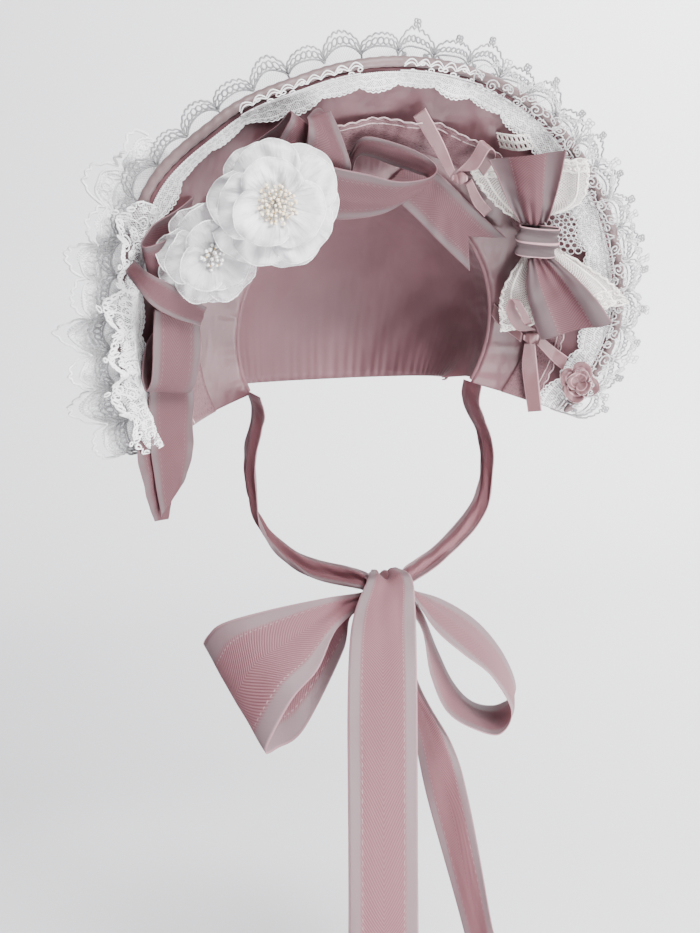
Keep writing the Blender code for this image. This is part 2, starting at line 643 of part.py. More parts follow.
# The crocheted round lies flat on the lining's slant, the rosette faces forwards.
def build_round_trims(group, lace, satin):
    for name, (around, across, height, radius, petals) in round_trims.items():
        middle = brim_place(around, across, height * loop_ribbon)
        flat = name == "doily"
        out = lining_normal(around, across)
        side = Vector((0.0, 0.0, 1.0)).cross(out).normalized()
        axes = (side, out.cross(side), out) if flat else face_axes(10.0, 10.0)
        petal_layer(group, name, middle, axes, radius, petals, 0.0 if flat else 0.4, 0.0,
                    lace if flat else satin, steps=2 if flat else 3, rows=1)


clear_scene()
bonnet = new_collection("bonnet")
pink_twill = finish_material("pink_twill", (0.62, 0.40, 0.42), 0.75)
pink_lining = finish_material("pink_lining", (0.70, 0.48, 0.50), 0.45)
pink_satin = finish_material("pink_satin", (0.72, 0.50, 0.50), 0.40)
white_lace = finish_material("white_lace", (0.88, 0.87, 0.84), 0.80)
white_organza = finish_material("white_organza", (0.90, 0.90, 0.92), 0.50)
cream_pearl = finish_material("cream_pearl", (0.82, 0.74, 0.60), 0.25)
build_crown(bonnet, pink_lining)
build_brim(bonnet, pink_lining)
build_piping(bonnet, pink_twill)
build_strip(bonnet, "edge_lace", True, white_lace)
build_strip(bonnet, "side_lace", True, white_lace)
build_strip(bonnet, "inner_lace", False, white_lace, inner_lace_fullness)
build_strip(bonnet, "headline_ruffle", False, pink_satin, ruffle_fullness)
build_brim_ribbons(bonnet, pink_twill, pink_satin, white_lace)
build_flowers(bonnet, white_organza, cream_pearl)
build_round_trims(bonnet, white_lace, pink_satin)
build_chin(bonnet, pink_twill)
build_knots(bonnet, pink_twill, pink_satin)
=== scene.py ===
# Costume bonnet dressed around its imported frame: dusty pink cloth, gathered lace, twill ribbon
# loops, organza flowers, a lace-backed bow and a ribbon tie. Metres, +Z up, front towards -Y.
import math

import bmesh
import bpy
import numpy as np
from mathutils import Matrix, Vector


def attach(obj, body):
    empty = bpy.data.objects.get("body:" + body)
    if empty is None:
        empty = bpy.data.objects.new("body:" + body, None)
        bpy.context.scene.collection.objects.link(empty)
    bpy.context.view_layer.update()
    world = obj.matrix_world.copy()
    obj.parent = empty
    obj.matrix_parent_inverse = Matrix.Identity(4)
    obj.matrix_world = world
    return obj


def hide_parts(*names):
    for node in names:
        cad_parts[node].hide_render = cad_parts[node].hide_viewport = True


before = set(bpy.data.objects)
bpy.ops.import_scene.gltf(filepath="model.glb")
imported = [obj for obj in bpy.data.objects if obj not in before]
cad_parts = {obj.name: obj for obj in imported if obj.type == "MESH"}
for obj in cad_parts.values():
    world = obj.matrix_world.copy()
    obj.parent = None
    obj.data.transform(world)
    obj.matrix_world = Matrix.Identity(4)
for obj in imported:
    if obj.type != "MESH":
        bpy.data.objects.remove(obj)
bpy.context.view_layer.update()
print("frame loaded,", len(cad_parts), "nodes")

# Sizes shared by every piece on the brim
bonnet = {
    "headHalfWidth": 0.096,        # half of the opening for the head
    "seatRise": 0.003,
    "brimHalfWidth": 0.180,
    "brimHalfHeight": 0.172,
    "brimCrest": 0.087,
    "brimReach": 118.0,            # degrees from the top of the brim to each end
    "brimWall": 0.003,
    "brimCup": 0.006,
    "openingFront": (-0.012, 0.026),
    "edgeFront": (-0.056, 0.004),
    "clearance": 0.0003,
    "cadCloth": 0.001,             # wall of the frame's ribbons
    "cloth": 0.0007,               # wall of the ribbons here
    "lace": 0.0005,
}
edgeOutline = (
    (-130.0, 1.00), (-100.0, 1.00), (-80.0, 1.01), (-58.0, 1.06), (-40.0, 1.03), (-20.0, 1.00),
    (20.0, 1.00), (60.0, 0.98), (90.0, 0.99), (130.0, 0.88),
)
openingCenter = bonnet["seatRise"] - bonnet["headHalfWidth"]
edgeCenter = bonnet["brimCrest"] - bonnet["brimHalfHeight"]
earLevel = openingCenter + bonnet["headHalfWidth"] * math.cos(math.radians(bonnet["brimReach"]))
fullTurn = 2.0 * math.pi


def mixed(low, high, share):
    return low + (high - low) * share


def eased(share):
    share = np.clip(share, 0.0, 1.0)
    return share * share * (3.0 - 2.0 * share)


def unit(vectors):
    length = np.linalg.norm(vectors, axis=-1, keepdims=True)
    return vectors / np.maximum(length, 1e-12)


# Smooth steps through the rows of a table whose first column is the place along it
def tableValue(rows, place):
    rows = np.asarray(rows, float)
    place = np.asarray(place, float)
    step = np.clip(np.searchsorted(rows[:, 0], place) - 1, 0, len(rows) - 2)
    share = (place - rows[step, 0]) / (rows[step + 1, 0] - rows[step, 0])
    return mixed(rows[step, 1], rows[step + 1, 1], eased(share))


# Uneven waves from a few sines of unlike length, between about -1 and 1
def unevenWave(place, seed):
    total = 0.0
    for step in range(4):
        rate = 1.0 + 0.73 * step + 0.21 * math.sin(seed * 3.1 + step)
        total = total + np.sin(place * rate + seed * 1.7 + step * 2.4) / (1.0 + 0.5 * step)
    return total / 2.2


# The brim's own coordinates: degrees around from its top, share across from the opening to the
# edge, and height above the lining
def openingPoint(around):
    turn = np.radians(around)
    low = (1.0 - np.cos(turn)) / 2.0
    front = bonnet["openingFront"]
    radius = bonnet["headHalfWidth"]
    return np.stack([radius * np.sin(turn), mixed(front[0], front[1], low),
                     openingCenter + radius * np.cos(turn)], -1)


def edgePoint(around):
    turn = np.radians(around)
    low = (1.0 - np.cos(turn)) / 2.0
    front = bonnet["edgeFront"]
    reach = tableValue(edgeOutline, around)
    return np.stack([bonnet["brimHalfWidth"] * reach * np.sin(turn), mixed(front[0], front[1], low),
                     edgeCenter + bonnet["brimHalfHeight"] * reach * np.cos(turn)], -1)


def brimTangent(around):
    return unit(openingPoint(around + 0.5) - openingPoint(around - 0.5))


def liningPoint(around, across):
    inner = openingPoint(around)
    outer = edgePoint(around)
    dish = bonnet["brimCup"] * np.sin(np.pi * np.clip(across, 0.0, 1.0))
    back = np.cross(unit(outer - inner), brimTangent(around))
    return inner + (outer - inner) * across[..., None] + back * dish[..., None]


def liningNormal(around, across):
    along = liningPoint(around + 1.0, across) - liningPoint(around - 1.0, across)
    over = liningPoint(around, across + 0.02) - liningPoint(around, across - 0.02)
    return unit(np.cross(along, over))


def brimPlace(around, across, height):
    spots = (np.asarray(value, float) for value in (around, across, height))
    around, across, height = np.broadcast_arrays(*spots)
    return liningPoint(around, across) + liningNormal(around, across) * height[..., None]


# Smooth curve through a few points by Catmull and Rom's rule
def curveAt(points, share):
    points = np.asarray(points, float)
    last = len(points) - 1
    place = np.clip(share, 0.0, 1.0) * last
    step = np.minimum(place.astype(int), last - 1)
    t = (place - step)[..., None]
    padded = np.vstack([points[0] * 2.0 - points[1], points, points[-1] * 2.0 - points[-2]])
    p0, p1, p2, p3 = (padded[step + k] for k in range(4))
    return (p1 * 2.0 + (p2 - p0) * t + (p0 * 2.0 - p1 * 5.0 + p2 * 4.0 - p3) * t ** 2
            + (p1 * 3.0 - p0 - p2 * 3.0 + p3) * t ** 3) * 0.5


def lengthOf(points):
    return float(np.linalg.norm(np.diff(points, axis=0), axis=1).sum())


def middleLength(first, second, steps):
    return lengthOf(curveAt((first + second) / 2.0, np.linspace(0.0, 1.0, steps)))


# A sheet between two edge curves, raised by height(u, v) from the straight line across. A notch
# cuts its end back in the middle by a share of its length.
def sheetBetween(first, second, height, notch=0.0):
    def place(u, v):
        cut = u * (1.0 - notch * (1.0 - np.abs(2.0 * v - 1.0)) * u)
        one, two = curveAt(first, cut), curveAt(second, cut)
        along = curveAt(first, cut + 0.01) - curveAt(first, cut - 0.01)
        lift = unit(np.cross(along, two - one))
        return one + (two - one) * v[..., None] + lift * height(u, v)[..., None]

    return place


# A grid of faces laid out by place(u, v), with its UV map in metres along and across
def gridMesh(name, cells, place, uvSize, closed=False):
    u, v = np.meshgrid(np.linspace(0.0, 1.0, cells[0] + 1), np.linspace(0.0, 1.0, cells[1] + 1),
                       indexing="ij")
    u, v = u.ravel(), v.ravel()
    points = place(u, v)
    index = np.arange(len(u)).reshape(cells[0] + 1, cells[1] + 1)
    corners = np.stack([index[:-1, :-1], index[1:, :-1], index[1:, 1:], index[:-1, 1:]], -1).reshape(-1)
    spots = np.stack([u[corners] * uvSize[0], v[corners] * uvSize[1]], -1)
    if closed:                     # the last column of points is the first one again
        seam = cells[0] * (cells[1] + 1)
        corners = np.where(corners >= seam, corners - seam, corners)
        points = points[:seam]
    mesh = bpy.data.meshes.new(name)
    mesh.from_pydata(points.tolist(), [], corners.reshape(-1, 4).tolist())
    mesh.uv_layers.new(name="UVMap").data.foreach_set("uv", spots.ravel())
    if closed:
        welded(mesh)
    mesh.shade_smooth()
    return mesh


# Joins the points of a closed shape that meet and turns its faces outwards
def welded(mesh):
    shape = bmesh.new()
    shape.from_mesh(mesh)
    bmesh.ops.remove_doubles(shape, verts=shape.verts, dist=0.000001)
    if shape.calc_volume(signed=True) < 0.0:
        bmesh.ops.reverse_faces(shape, faces=shape.faces)
    shape.to_mesh(mesh)
    shape.free()


def finished(piece, material, slot, nodes=()):
    if material:
        piece.data.materials.append(material)
    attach(piece, "root")
    if nodes:
        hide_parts(*nodes)
    return piece


def linked(name, data):
    piece = bpy.data.objects.new(name, data)
    bpy.context.scene.collection.objects.link(piece)
    return piece


def walled(piece, wall):
    thicken = piece.modifiers.new("Wall", "SOLIDIFY")
    thicken.thickness = wall
    thicken.offset = 0.0
    thicken.use_even_offset = False
    return piece


def clothPiece(name, cells, place, uvSize, material, slot, nodes=(), wall=bonnet["cloth"]):
    piece = walled(linked(name, gridMesh(name, cells, place, uvSize)), wall)
    return finished(piece, material, slot, nodes)


# Puts a value or another node's output into a socket
def link(tree, value, socket):
    if isinstance(value, bpy.types.NodeSocket):
        tree.links.new(value, socket)
    elif value is not None:
        socket.default_value = value


def calc(tree, operation, a, b=None, c=None):
    node = tree.nodes.new("ShaderNodeMath")
    node.operation = operation
    for socket, value in zip(node.inputs, (a, b, c)):
        link(tree, value, socket)
    return node.outputs[0]


# Geometry node trees
def newTree(name, inputs):
    tree = bpy.data.node_groups.new(name, "GeometryNodeTree")
    tree.interface.new_socket("Geometry", in_out="INPUT", socket_type="NodeSocketGeometry")
    for label, kind in inputs:
        tree.interface.new_socket(label, in_out="INPUT", socket_type="NodeSocket" + kind)
    tree.interface.new_socket("Geometry", in_out="OUTPUT", socket_type="NodeSocketGeometry")
    return tree, tree.nodes.new("NodeGroupInput"), tree.nodes.new("NodeGroupOutput")


# Ends a tree in smooth, real geometry of one material
def endTree(tree, steps, end, material):
    steps = steps + [tree.nodes.new("GeometryNode" + kind)
                     for kind in ("SetShadeSmooth", "RealizeInstances", "SetMaterial")]
    link(tree, material, steps[-1].inputs["Material"])
    for before, after in zip(steps, steps[1:] + [end]):
        tree.links.new(before.outputs[0], after.inputs[0])
    return tree


# Round threads along the edges of a mesh
def buildThreadTree():
    tree, start, end = newTree("threads", (("Radius", "Float"), ("Sides", "Int"), ("Thread", "Material")))
    line, ring, tube = (tree.nodes.new("GeometryNode" + kind)
                        for kind in ("MeshToCurve", "CurvePrimitiveCircle", "CurveToMesh"))
    tube.inputs["Fill Caps"].default_value = True
    link(tree, start.outputs["Radius"], ring.inputs["Radius"])
    link(tree, start.outputs["Sides"], ring.inputs["Resolution"])
    link(tree, ring.outputs["Curve"], tube.inputs["Profile Curve"])
    return endTree(tree, [start, line, tube], end, start.outputs["Thread"])


# Beads on the points of a mesh, each a little larger or smaller
def buildBeadTree():
    tree, start, end = newTree("beads", (("Radius", "Float"), ("Spread", "Float"), ("Seed", "Int"),
                                         ("Bead", "Material")))
    spots, bead = (tree.nodes.new("GeometryNode" + kind) for kind in ("InstanceOnPoints", "MeshIcoSphere"))
    size = tree.nodes.new("FunctionNodeRandomValue")
    bead.inputs["Subdivisions"].default_value = 2
    link(tree, start.outputs["Radius"], bead.inputs["Radius"])
    link(tree, calc(tree, "SUBTRACT", 1.0, start.outputs["Spread"]), size.inputs[2])
    link(tree, calc(tree, "ADD", 1.0, start.outputs["Spread"]), size.inputs[3])
    link(tree, start.outputs["Seed"], size.inputs["Seed"])
    link(tree, size.outputs[1], spots.inputs["Scale"])
    link(tree, bead.outputs["Mesh"], spots.inputs["Instance"])
    return endTree(tree, [start, spots], end, start.outputs["Bead"])


trees = {"threads": buildThreadTree(), "beads": buildBeadTree()}


# Runs a tree on a mesh and keeps the result as a plain mesh
def grown(name, mesh, treeName, values):
    guide = linked(name, mesh)
    tree = trees[treeName]
    modifier = guide.modifiers.new(treeName, "NODES")
    modifier.node_group = tree
    for socket in tree.interface.items_tree:
        if socket.in_out == "INPUT" and socket.name in values:
            modifier[socket.identifier] = values[socket.name]
    result = bpy.data.meshes.new_from_object(guide.evaluated_get(bpy.context.evaluated_depsgraph_get()))
    guide.modifiers.remove(modifier)
    guide.data = result
    result.name = name
    return guide


# One mesh of edges from many lines of points; a line is (points, closed)
def lineMesh(name, lines):
    points, edges, first = [], [], 0
    for line, closed in lines:
        count = len(line)
        points.append(line)
        index = np.arange(count) + first
        edges.append(np.stack([index[:-1], index[1:]], -1))
        if closed:
            edges.append(np.array([[index[-1], index[0]]]))
        first += count
    mesh = bpy.data.meshes.new(name)
    mesh.from_pydata(np.vstack(points).tolist(), np.vstack(edges).tolist(), [])
    return mesh


def threadPiece(name, lines, radius, material, slot, nodes=(), sides=4):
    piece = grown(name, lineMesh(name, lines), "threads",
                  {"Radius": radius, "Sides": sides, "Thread": material})
    return finished(piece, None, slot, nodes)


def beadPiece(name, points, radius, spread, seed, material, slot, nodes=()):
    mesh = bpy.data.meshes.new(name)
    mesh.from_pydata(np.asarray(points).tolist(), [], [])
    piece = grown(name, mesh, "beads",
                  {"Radius": radius, "Spread": spread, "Seed": seed, "Bead": material})
    return finished(piece, None, slot, nodes)


def ramped(tree, value, low, high, start=0.0, end=1.0):
    node = tree.nodes.new("ShaderNodeMapRange")
    node.interpolation_type = "SMOOTHSTEP"
    for label, amount in (("Value", value), ("From Min", low), ("From Max", high), ("To Min", start),
                          ("To Max", end)):
        link(tree, amount, node.inputs[label])
    return node.outputs["Result"]


def blended(tree, share, first, second):
    node = tree.nodes.new("ShaderNodeMix")
    node.data_type = "RGBA"
    link(tree, share, node.inputs[0])
    for socket, value in ((node.inputs[6], first), (node.inputs[7], second)):
        link(tree, (*value, 1.0) if isinstance(value, tuple) else value, socket)
    return node.outputs[2]


def noise(tree, scale, detail=3.0, vector=None, stretch=None):
    place = vector
    if place is None:
        place = tree.nodes.new("ShaderNodeTexCoord").outputs["Object"]
    if stretch:
        scaled = tree.nodes.new("ShaderNodeVectorMath")
        scaled.operation = "MULTIPLY"
        link(tree, place, scaled.inputs[0])
        scaled.inputs[1].default_value = stretch
        place = scaled.outputs[0]
    node = tree.nodes.new("ShaderNodeTexNoise")
    link(tree, place, node.inputs["Vector"])
    node.inputs["Scale"].default_value = scale
    node.inputs["Detail"].default_value = detail
    return node.outputs["Fac"]


def clothPlace(tree):
    node = tree.nodes.new("ShaderNodeUVMap")
    node.uv_map = "UVMap"
    split = tree.nodes.new("ShaderNodeSeparateXYZ")
    tree.links.new(node.outputs[0], split.inputs[0])
    return split.outputs[0], split.outputs[1]


def shaderGroup(name, inputs, build):
    tree = bpy.data.node_groups.new(name, "ShaderNodeTree")
    for label, value in inputs:
        socket = tree.interface.new_socket(label, in_out="INPUT", socket_type="NodeSocketFloat")
        socket.default_value = value
    start = tree.nodes.new("NodeGroupInput")
    results = build(tree, start)
    for label in results:
        tree.interface.new_socket(label, in_out="OUTPUT", socket_type="NodeSocketFloat")
    end = tree.nodes.new("NodeGroupOutput")
    for label, value in results.items():
        link(tree, value, end.inputs[label])
    return tree


# Herringbone ribs that meet in the middle of a ribbon, with the fine dots of the yarns
def twillWeave(tree, start):
    along, over = clothPlace(tree)
    half = calc(tree, "MULTIPLY", start.outputs["Width"], 0.5)
    fold = calc(tree, "ABSOLUTE", calc(tree, "SUBTRACT", over, half))
    lane = calc(tree, "PINGPONG", fold, start.outputs["Lane"])
    phase = calc(tree, "DIVIDE", calc(tree, "ADD", along, lane), start.outputs["Pitch"])
    rib = calc(tree, "MULTIPLY_ADD", calc(tree, "SINE", calc(tree, "MULTIPLY", phase, fullTurn)), 0.5, 0.5)
    yarn = calc(tree, "DIVIDE", calc(tree, "SUBTRACT", along, lane), start.outputs["Yarn"])
    dots = calc(tree, "MULTIPLY_ADD", calc(tree, "SINE", calc(tree, "MULTIPLY", yarn, fullTurn)), 0.5, 0.5)
    return {"Rib": rib, "Dots": calc(tree, "MULTIPLY", rib, dots)}


# Masks of a ribbon's satin stripes, its pale edge and the light stitches between
def ribbonStripes(tree, start):
    along, over = clothPlace(tree)
    width = start.outputs["Width"]
    edge = calc(tree, "DIVIDE", calc(tree, "MINIMUM", over, calc(tree, "SUBTRACT", width, over)), width)
    waver = calc(tree, "MULTIPLY_ADD", noise(tree, 90.0, 1.0), 0.016, -0.008)
    place = calc(tree, "ADD", edge, waver)
    satin = ramped(tree, place, start.outputs["Soft"], start.outputs["Stripe"], 1.0, 0.0)
    selvage = ramped(tree, edge, 0.012, 0.022, 1.0, 0.0)
    border = calc(tree, "SUBTRACT", edge, start.outputs["Stripe"])
    line = ramped(tree, calc(tree, "ABSOLUTE", border), 0.003, 0.009, 1.0, 0.0)
    dash = calc(tree, "SINE", calc(tree, "MULTIPLY", along, fullTurn / 0.0034))
    stitch = calc(tree, "MULTIPLY", line, ramped(tree, dash, -0.2, 0.3))
    return {"Satin": satin, "Selvage": selvage, "Stitch": stitch}


# Threads of a diamond net with round knots where they cross
def netHoles(tree, start):
    along, over = clothPlace(tree)
    pitch = start.outputs["Pitch"]
    sides = []
    for sign in (1.0, -1.0):
        lean = calc(tree, "MULTIPLY_ADD", over, sign * 0.62, along)
        lane = calc(tree, "PINGPONG", calc(tree, "DIVIDE", lean, pitch), 0.5)
        sides.append(lane)
    near = calc(tree, "MINIMUM", sides[0], sides[1])
    width = start.outputs["Thread"]
    thread = ramped(tree, near, width, calc(tree, "ADD", width, 0.07), 1.0, 0.0)
    knot = ramped(tree, calc(tree, "ADD", sides[0], sides[1]), 0.16, 0.24, 1.0, 0.0)
    return {"Threads": calc(tree, "MAXIMUM", thread, knot)}


# Soft uneven tone of cloth and the fine grain of its yarns
def clothGrain(tree, start):
    along, over = clothPlace(tree)
    mottle = noise(tree, 24.0, 4.0)
    weave = calc(tree, "MULTIPLY", calc(tree, "SINE", calc(tree, "DIVIDE", along, start.outputs["Yarn"])),
                 calc(tree, "SINE", calc(tree, "DIVIDE", over, start.outputs["Yarn"])))
    creases = noise(tree, 60.0, 2.0, stretch=(1.0, 1.0, 0.35))
    return {"Mottle": mottle, "Weave": calc(tree, "MULTIPLY_ADD", weave, 0.5, 0.5), "Creases": creases}


groups = {
    "twillWeave": shaderGroup("twillWeave", (("Width", 0.04), ("Pitch", 0.0019), ("Lane", 0.05),
                                             ("Yarn", 0.0011)), twillWeave),
    "ribbonStripes": shaderGroup("ribbonStripes", (("Width", 0.04), ("Soft", 0.1), ("Stripe", 0.2)),
                                  ribbonStripes),
    "netHoles": shaderGroup("netHoles", (("Pitch", 0.0018), ("Thread", 0.09)), netHoles),
    "clothGrain": shaderGroup("clothGrain", (("Yarn", 0.00012),), clothGrain),
}


def newMaterial(name):
    material = bpy.data.materials.new(name)
    material.use_nodes = True
    tree = material.node_tree
    return material, tree, tree.nodes["Principled BSDF"]


def useGroup(tree, name, values=None):
    node = tree.nodes.new("ShaderNodeGroup")
    node.node_tree = groups[name]
    for label, value in (values or {}).items():
        node.inputs[label].default_value = value
    return node.outputs


def bumped(tree, shader, heights):
    normal = None
    for height, distance, strength in heights:
        bump = tree.nodes.new("ShaderNodeBump")
        bump.inputs["Distance"].default_value = distance
        bump.inputs["Strength"].default_value = strength
        link(tree, height, bump.inputs["Height"])
        link(tree, normal, bump.inputs["Normal"])
        normal = bump.outputs["Normal"]
    link(tree, normal, shader.inputs["Normal"])


def soften(shader, roughness, sheen=0.0, tint=None, specular=0.35):
    shader.inputs["Roughness"].default_value = roughness
    shader.inputs["Sheen Weight"].default_value = sheen
    shader.inputs["Sheen Roughness"].default_value = 0.4
    shader.inputs["Specular IOR Level"].default_value = specular
    if tint:
        shader.inputs["Sheen Tint"].default_value = (*tint, 1.0)


# Thin cloth lets some light through from behind
def letThrough(tree, shader, color, share):
    glow = tree.nodes.new("ShaderNodeBsdfTranslucent")
    glow.inputs["Color"].default_value = (*color, 1.0)
    mix = tree.nodes.new("ShaderNodeMixShader")
    mix.inputs[0].default_value = share
    tree.links.new(shader.outputs[0], mix.inputs[1])
    tree.links.new(glow.outputs[0], mix.inputs[2])
    tree.links.new(mix.outputs[0], tree.nodes["Material Output"].inputs["Surface"])
    return mix


ribbonColors = {
    "rib": (0.195, 0.078, 0.092),
    "groove": (0.090, 0.028, 0.036),
    "satin": (0.150, 0.112, 0.121),
    "selvage": (0.34, 0.190, 0.215),
    "stitch": (0.30, 0.200, 0.215),
}


def ribbonMaterial(name, width, soft, stripe, pinkToneAndShade, satinToneAndShade):
    material, tree, shader = newMaterial(name)
    # The shared ribbon colours are scaled per kind: partly its own tone, partly painted light and shade
    colors = {part: tuple(np.array(color) * (satinToneAndShade if part == "satin" else pinkToneAndShade))
              for part, color in ribbonColors.items()}
    weave = useGroup(tree, "twillWeave", {"Width": width, "Lane": width})
    stripes = useGroup(tree, "ribbonStripes", {"Width": width, "Soft": soft, "Stripe": stripe})
    grain = useGroup(tree, "clothGrain")
    pink = blended(tree, ramped(tree, weave["Rib"], 0.15, 0.75), colors["groove"], colors["rib"])
    pink = blended(tree, calc(tree, "MULTIPLY", weave["Dots"], 0.25), pink, colors["selvage"])
    tone = blended(tree, calc(tree, "MULTIPLY", stripes["Satin"], 0.92), pink, colors["satin"])
    tone = blended(tree, calc(tree, "MULTIPLY", stripes["Selvage"], 0.8), tone, colors["selvage"])
    tone = blended(tree, calc(tree, "MULTIPLY", stripes["Stitch"], 0.85), tone, colors["stitch"])
    shade = blended(tree, ramped(tree, grain["Mottle"], 0.3, 0.7, 0.0, 0.22), tone, (0.11, 0.045, 0.055))
    link(tree, shade, shader.inputs["Base Color"])
    soften(shader, 0.6, 0.10, (1.0, 0.70, 0.74))
    link(tree, calc(tree, "MULTIPLY_ADD", stripes["Satin"], -0.14, 0.66), shader.inputs["Roughness"])
    ribs = calc(tree, "MULTIPLY", weave["Rib"], calc(tree, "SUBTRACT", 1.0, stripes["Satin"]))
    bumped(tree, shader, ((ribs, 0.0003, 0.5), (grain["Weave"], 0.00008, 0.3),
                          (grain["Creases"], 0.0012, 0.25)))
    letThrough(tree, shader, (0.56, 0.20, 0.25), 0.20)
    return material


def clothMaterial(name, light, deep, roughness, sheen, wrinkle, wrinkleSize, through, alpha, edges):
    material, tree, shader = newMaterial(name)
    grain = useGroup(tree, "clothGrain")
    tone = blended(tree, ramped(tree, grain["Mottle"], 0.25, 0.75, 0.3, 0.85), deep, light)
    if edges:                      # a pale line along each edge of a ribbon this wide
        over = clothPlace(tree)[1]
        lane = calc(tree, "PINGPONG", over, edges / 2.0)
        line = ramped(tree, lane, 0.0004, 0.0009, 1.0, 0.0)
        tone = blended(tree, calc(tree, "MULTIPLY", line, 0.7), tone, (0.42, 0.24, 0.265))
    link(tree, tone, shader.inputs["Base Color"])
    soften(shader, roughness, sheen)
    bumped(tree, shader, ((grain["Creases"], wrinkleSize, wrinkle), (grain["Weave"], 0.00006, 0.25)))
    mix = letThrough(tree, shader, light, through)
    if alpha < 1.0:
        fibres = noise(tree, 1.0, 2.0, vector=uvVector(tree), stretch=(260.0, 2600.0, 1.0))
        seeThrough(tree, mix, ramped(tree, fibres, 0.3, 0.7, alpha - 0.14, alpha + 0.10))
    return material


# Petal organza: satin near the middle, sheerer and fibrous towards the rim, with fine creases
# that run outwards and a darker colour laid along them as painted shade. A petal's UV runs
# across it and outwards, both from 0 to 1.
def organzaMaterial(name, light, deep, middle, rim):
    material, tree, shader = newMaterial(name)
    across, outwards = clothPlace(tree)
    place = uvVector(tree)
    creases = noise(tree, 1.0, 3.0, vector=place, stretch=(9.0, 1.1, 1.0))
    fibres = noise(tree, 1.0, 2.0, vector=place, stretch=(70.0, 5.0, 1.0))
    # Painted shade: the deep colour follows the creases
    tone = blended(tree, ramped(tree, creases, 0.3, 0.7), deep, light)
    link(tree, tone, shader.inputs["Base Color"])
    soften(shader, 0.36, 0.3, None, 0.5)
    shader.inputs["Anisotropic"].default_value = 0.5
    bumped(tree, shader, ((creases, 0.006, 0.8), (fibres, 0.0006, 0.45)))
    mix = letThrough(tree, shader, light, 0.18)
    cover = ramped(tree, outwards, 0.55, 1.0, middle, rim)
    seeThrough(tree, mix, calc(tree, "MULTIPLY_ADD", fibres, 0.22, calc(tree, "SUBTRACT", cover, 0.11)))
    return material


def uvVector(tree):
    node = tree.nodes.new("ShaderNodeUVMap")
    node.uv_map = "UVMap"
    return node.outputs[0]


# Opens a finished shader where its cover is less than one
def seeThrough(tree, mix, cover):
    clear = tree.nodes.new("ShaderNodeBsdfTransparent")
    last = tree.nodes.new("ShaderNodeMixShader")
    link(tree, cover, last.inputs[0])
    tree.links.new(clear.outputs[0], last.inputs[1])
    tree.links.new(mix.outputs[0], last.inputs[2])
    tree.links.new(last.outputs[0], tree.nodes["Material Output"].inputs["Surface"])


def netMaterial(name, color, pitch, veil, thread):
    material, tree, shader = newMaterial(name)
    net = useGroup(tree, "netHoles", {"Pitch": pitch, "Thread": thread})
    shader.inputs["Base Color"].default_value = (*color, 1.0)
    soften(shader, 0.75, 0.2)
    mix = letThrough(tree, shader, color, 0.15)
    seeThrough(tree, mix, calc(tree, "MAXIMUM", net["Threads"], veil))
    return material


def threadMaterial(name, light, deep):
    material, tree, shader = newMaterial(name)
    tone = blended(tree, ramped(tree, noise(tree, 900.0, 1.0), 0.35, 0.65), deep, light)
    link(tree, tone, shader.inputs["Base Color"])
    soften(shader, 0.7, 0.3)
    bumped(tree, shader, ((noise(tree, 2600.0, 1.0), 0.0002, 0.5),))
    letThrough(tree, shader, light, 0.06)
    return material


def beadMaterial(name, light, deep, coat, metallic):
    material, tree, shader = newMaterial(name)
    tone = blended(tree, ramped(tree, noise(tree, 150.0, 2.0), 0.35, 0.65), deep, light)
    link(tree, tone, shader.inputs["Base Color"])
    shader.inputs["Roughness"].default_value = 0.22
    shader.inputs["Metallic"].default_value = metallic
    shader.inputs["Coat Weight"].default_value = coat
    shader.inputs["Subsurface Weight"].default_value = 0.15
    shader.inputs["Subsurface Radius"].default_value = (0.001, 0.001, 0.001)
    return material


# Width, share of it where the satin stripe starts to fade and where it ends, and how bright the
# twill and the satin are: partly each ribbon's own tone and partly painted light and shade, darker
# for the loops and the bow, which lie in shade, and lighter for the chin tie, which catches light
ribbonKinds = {
    "loopRibbon": (0.040, 0.085, 0.21, 0.53, 0.54),
    "bowRibbon": (0.040, 0.235, 0.27, 0.51, 0.38),
    "chinRibbon": (0.050, 0.150, 0.20, 0.74, 0.72),
}
# Light and deep colour, roughness, sheen, strength and depth of the creases, share of light let
# through, cover and width between a ribbon's pale edges
clothKinds = {
    # The lining's colours are dark: partly its dusty pink, partly painted shade for the deep shade behind
    # the flowers
    "lining": ((0.130, 0.058, 0.066), (0.060, 0.023, 0.029), 0.42, 0.12, 0.6, 0.004, 0.0, 1.0, 0.0),
    # The crown's colours are darkened: partly its own pink, partly painted shade for its shaded inside
    "crown": ((0.130, 0.060, 0.069), (0.090, 0.038, 0.045), 0.6, 0.08, 0.4, 0.003, 0.0, 1.0, 0.0),
    "piping": ((0.165, 0.112, 0.115), (0.100, 0.063, 0.066), 0.48, 0.12, 0.6, 0.002, 0.0, 1.0, 0.0),
    "narrowSatin": ((0.150, 0.072, 0.078), (0.095, 0.041, 0.046), 0.46, 0.12, 0.3, 0.001, 0.10, 1.0, 0.010),
    # The bow knot's band: colours set far darker than the bow's satin, as painted shade on the knot
    "shadedBandSatin": ((0.058, 0.038, 0.041), (0.034, 0.020, 0.023), 0.62, 0.02, 0.5, 0.0014, 0.0, 1.0, 0.0105),
    "ruffle": ((0.20, 0.105, 0.117), (0.15, 0.075, 0.085), 0.55, 0.1, 0.3, 0.001, 0.2, 0.78, 0.0),
}
# Light colour, deep colour laid along the creases as painted shade, cover near the middle and at the rim
organzaKinds = {
    "organza": ((0.90, 0.895, 0.91), (0.66, 0.655, 0.68), 0.97, 0.55),
    "sheerOrganza": ((0.84, 0.83, 0.845), (0.60, 0.59, 0.61), 0.50, 0.30),
}
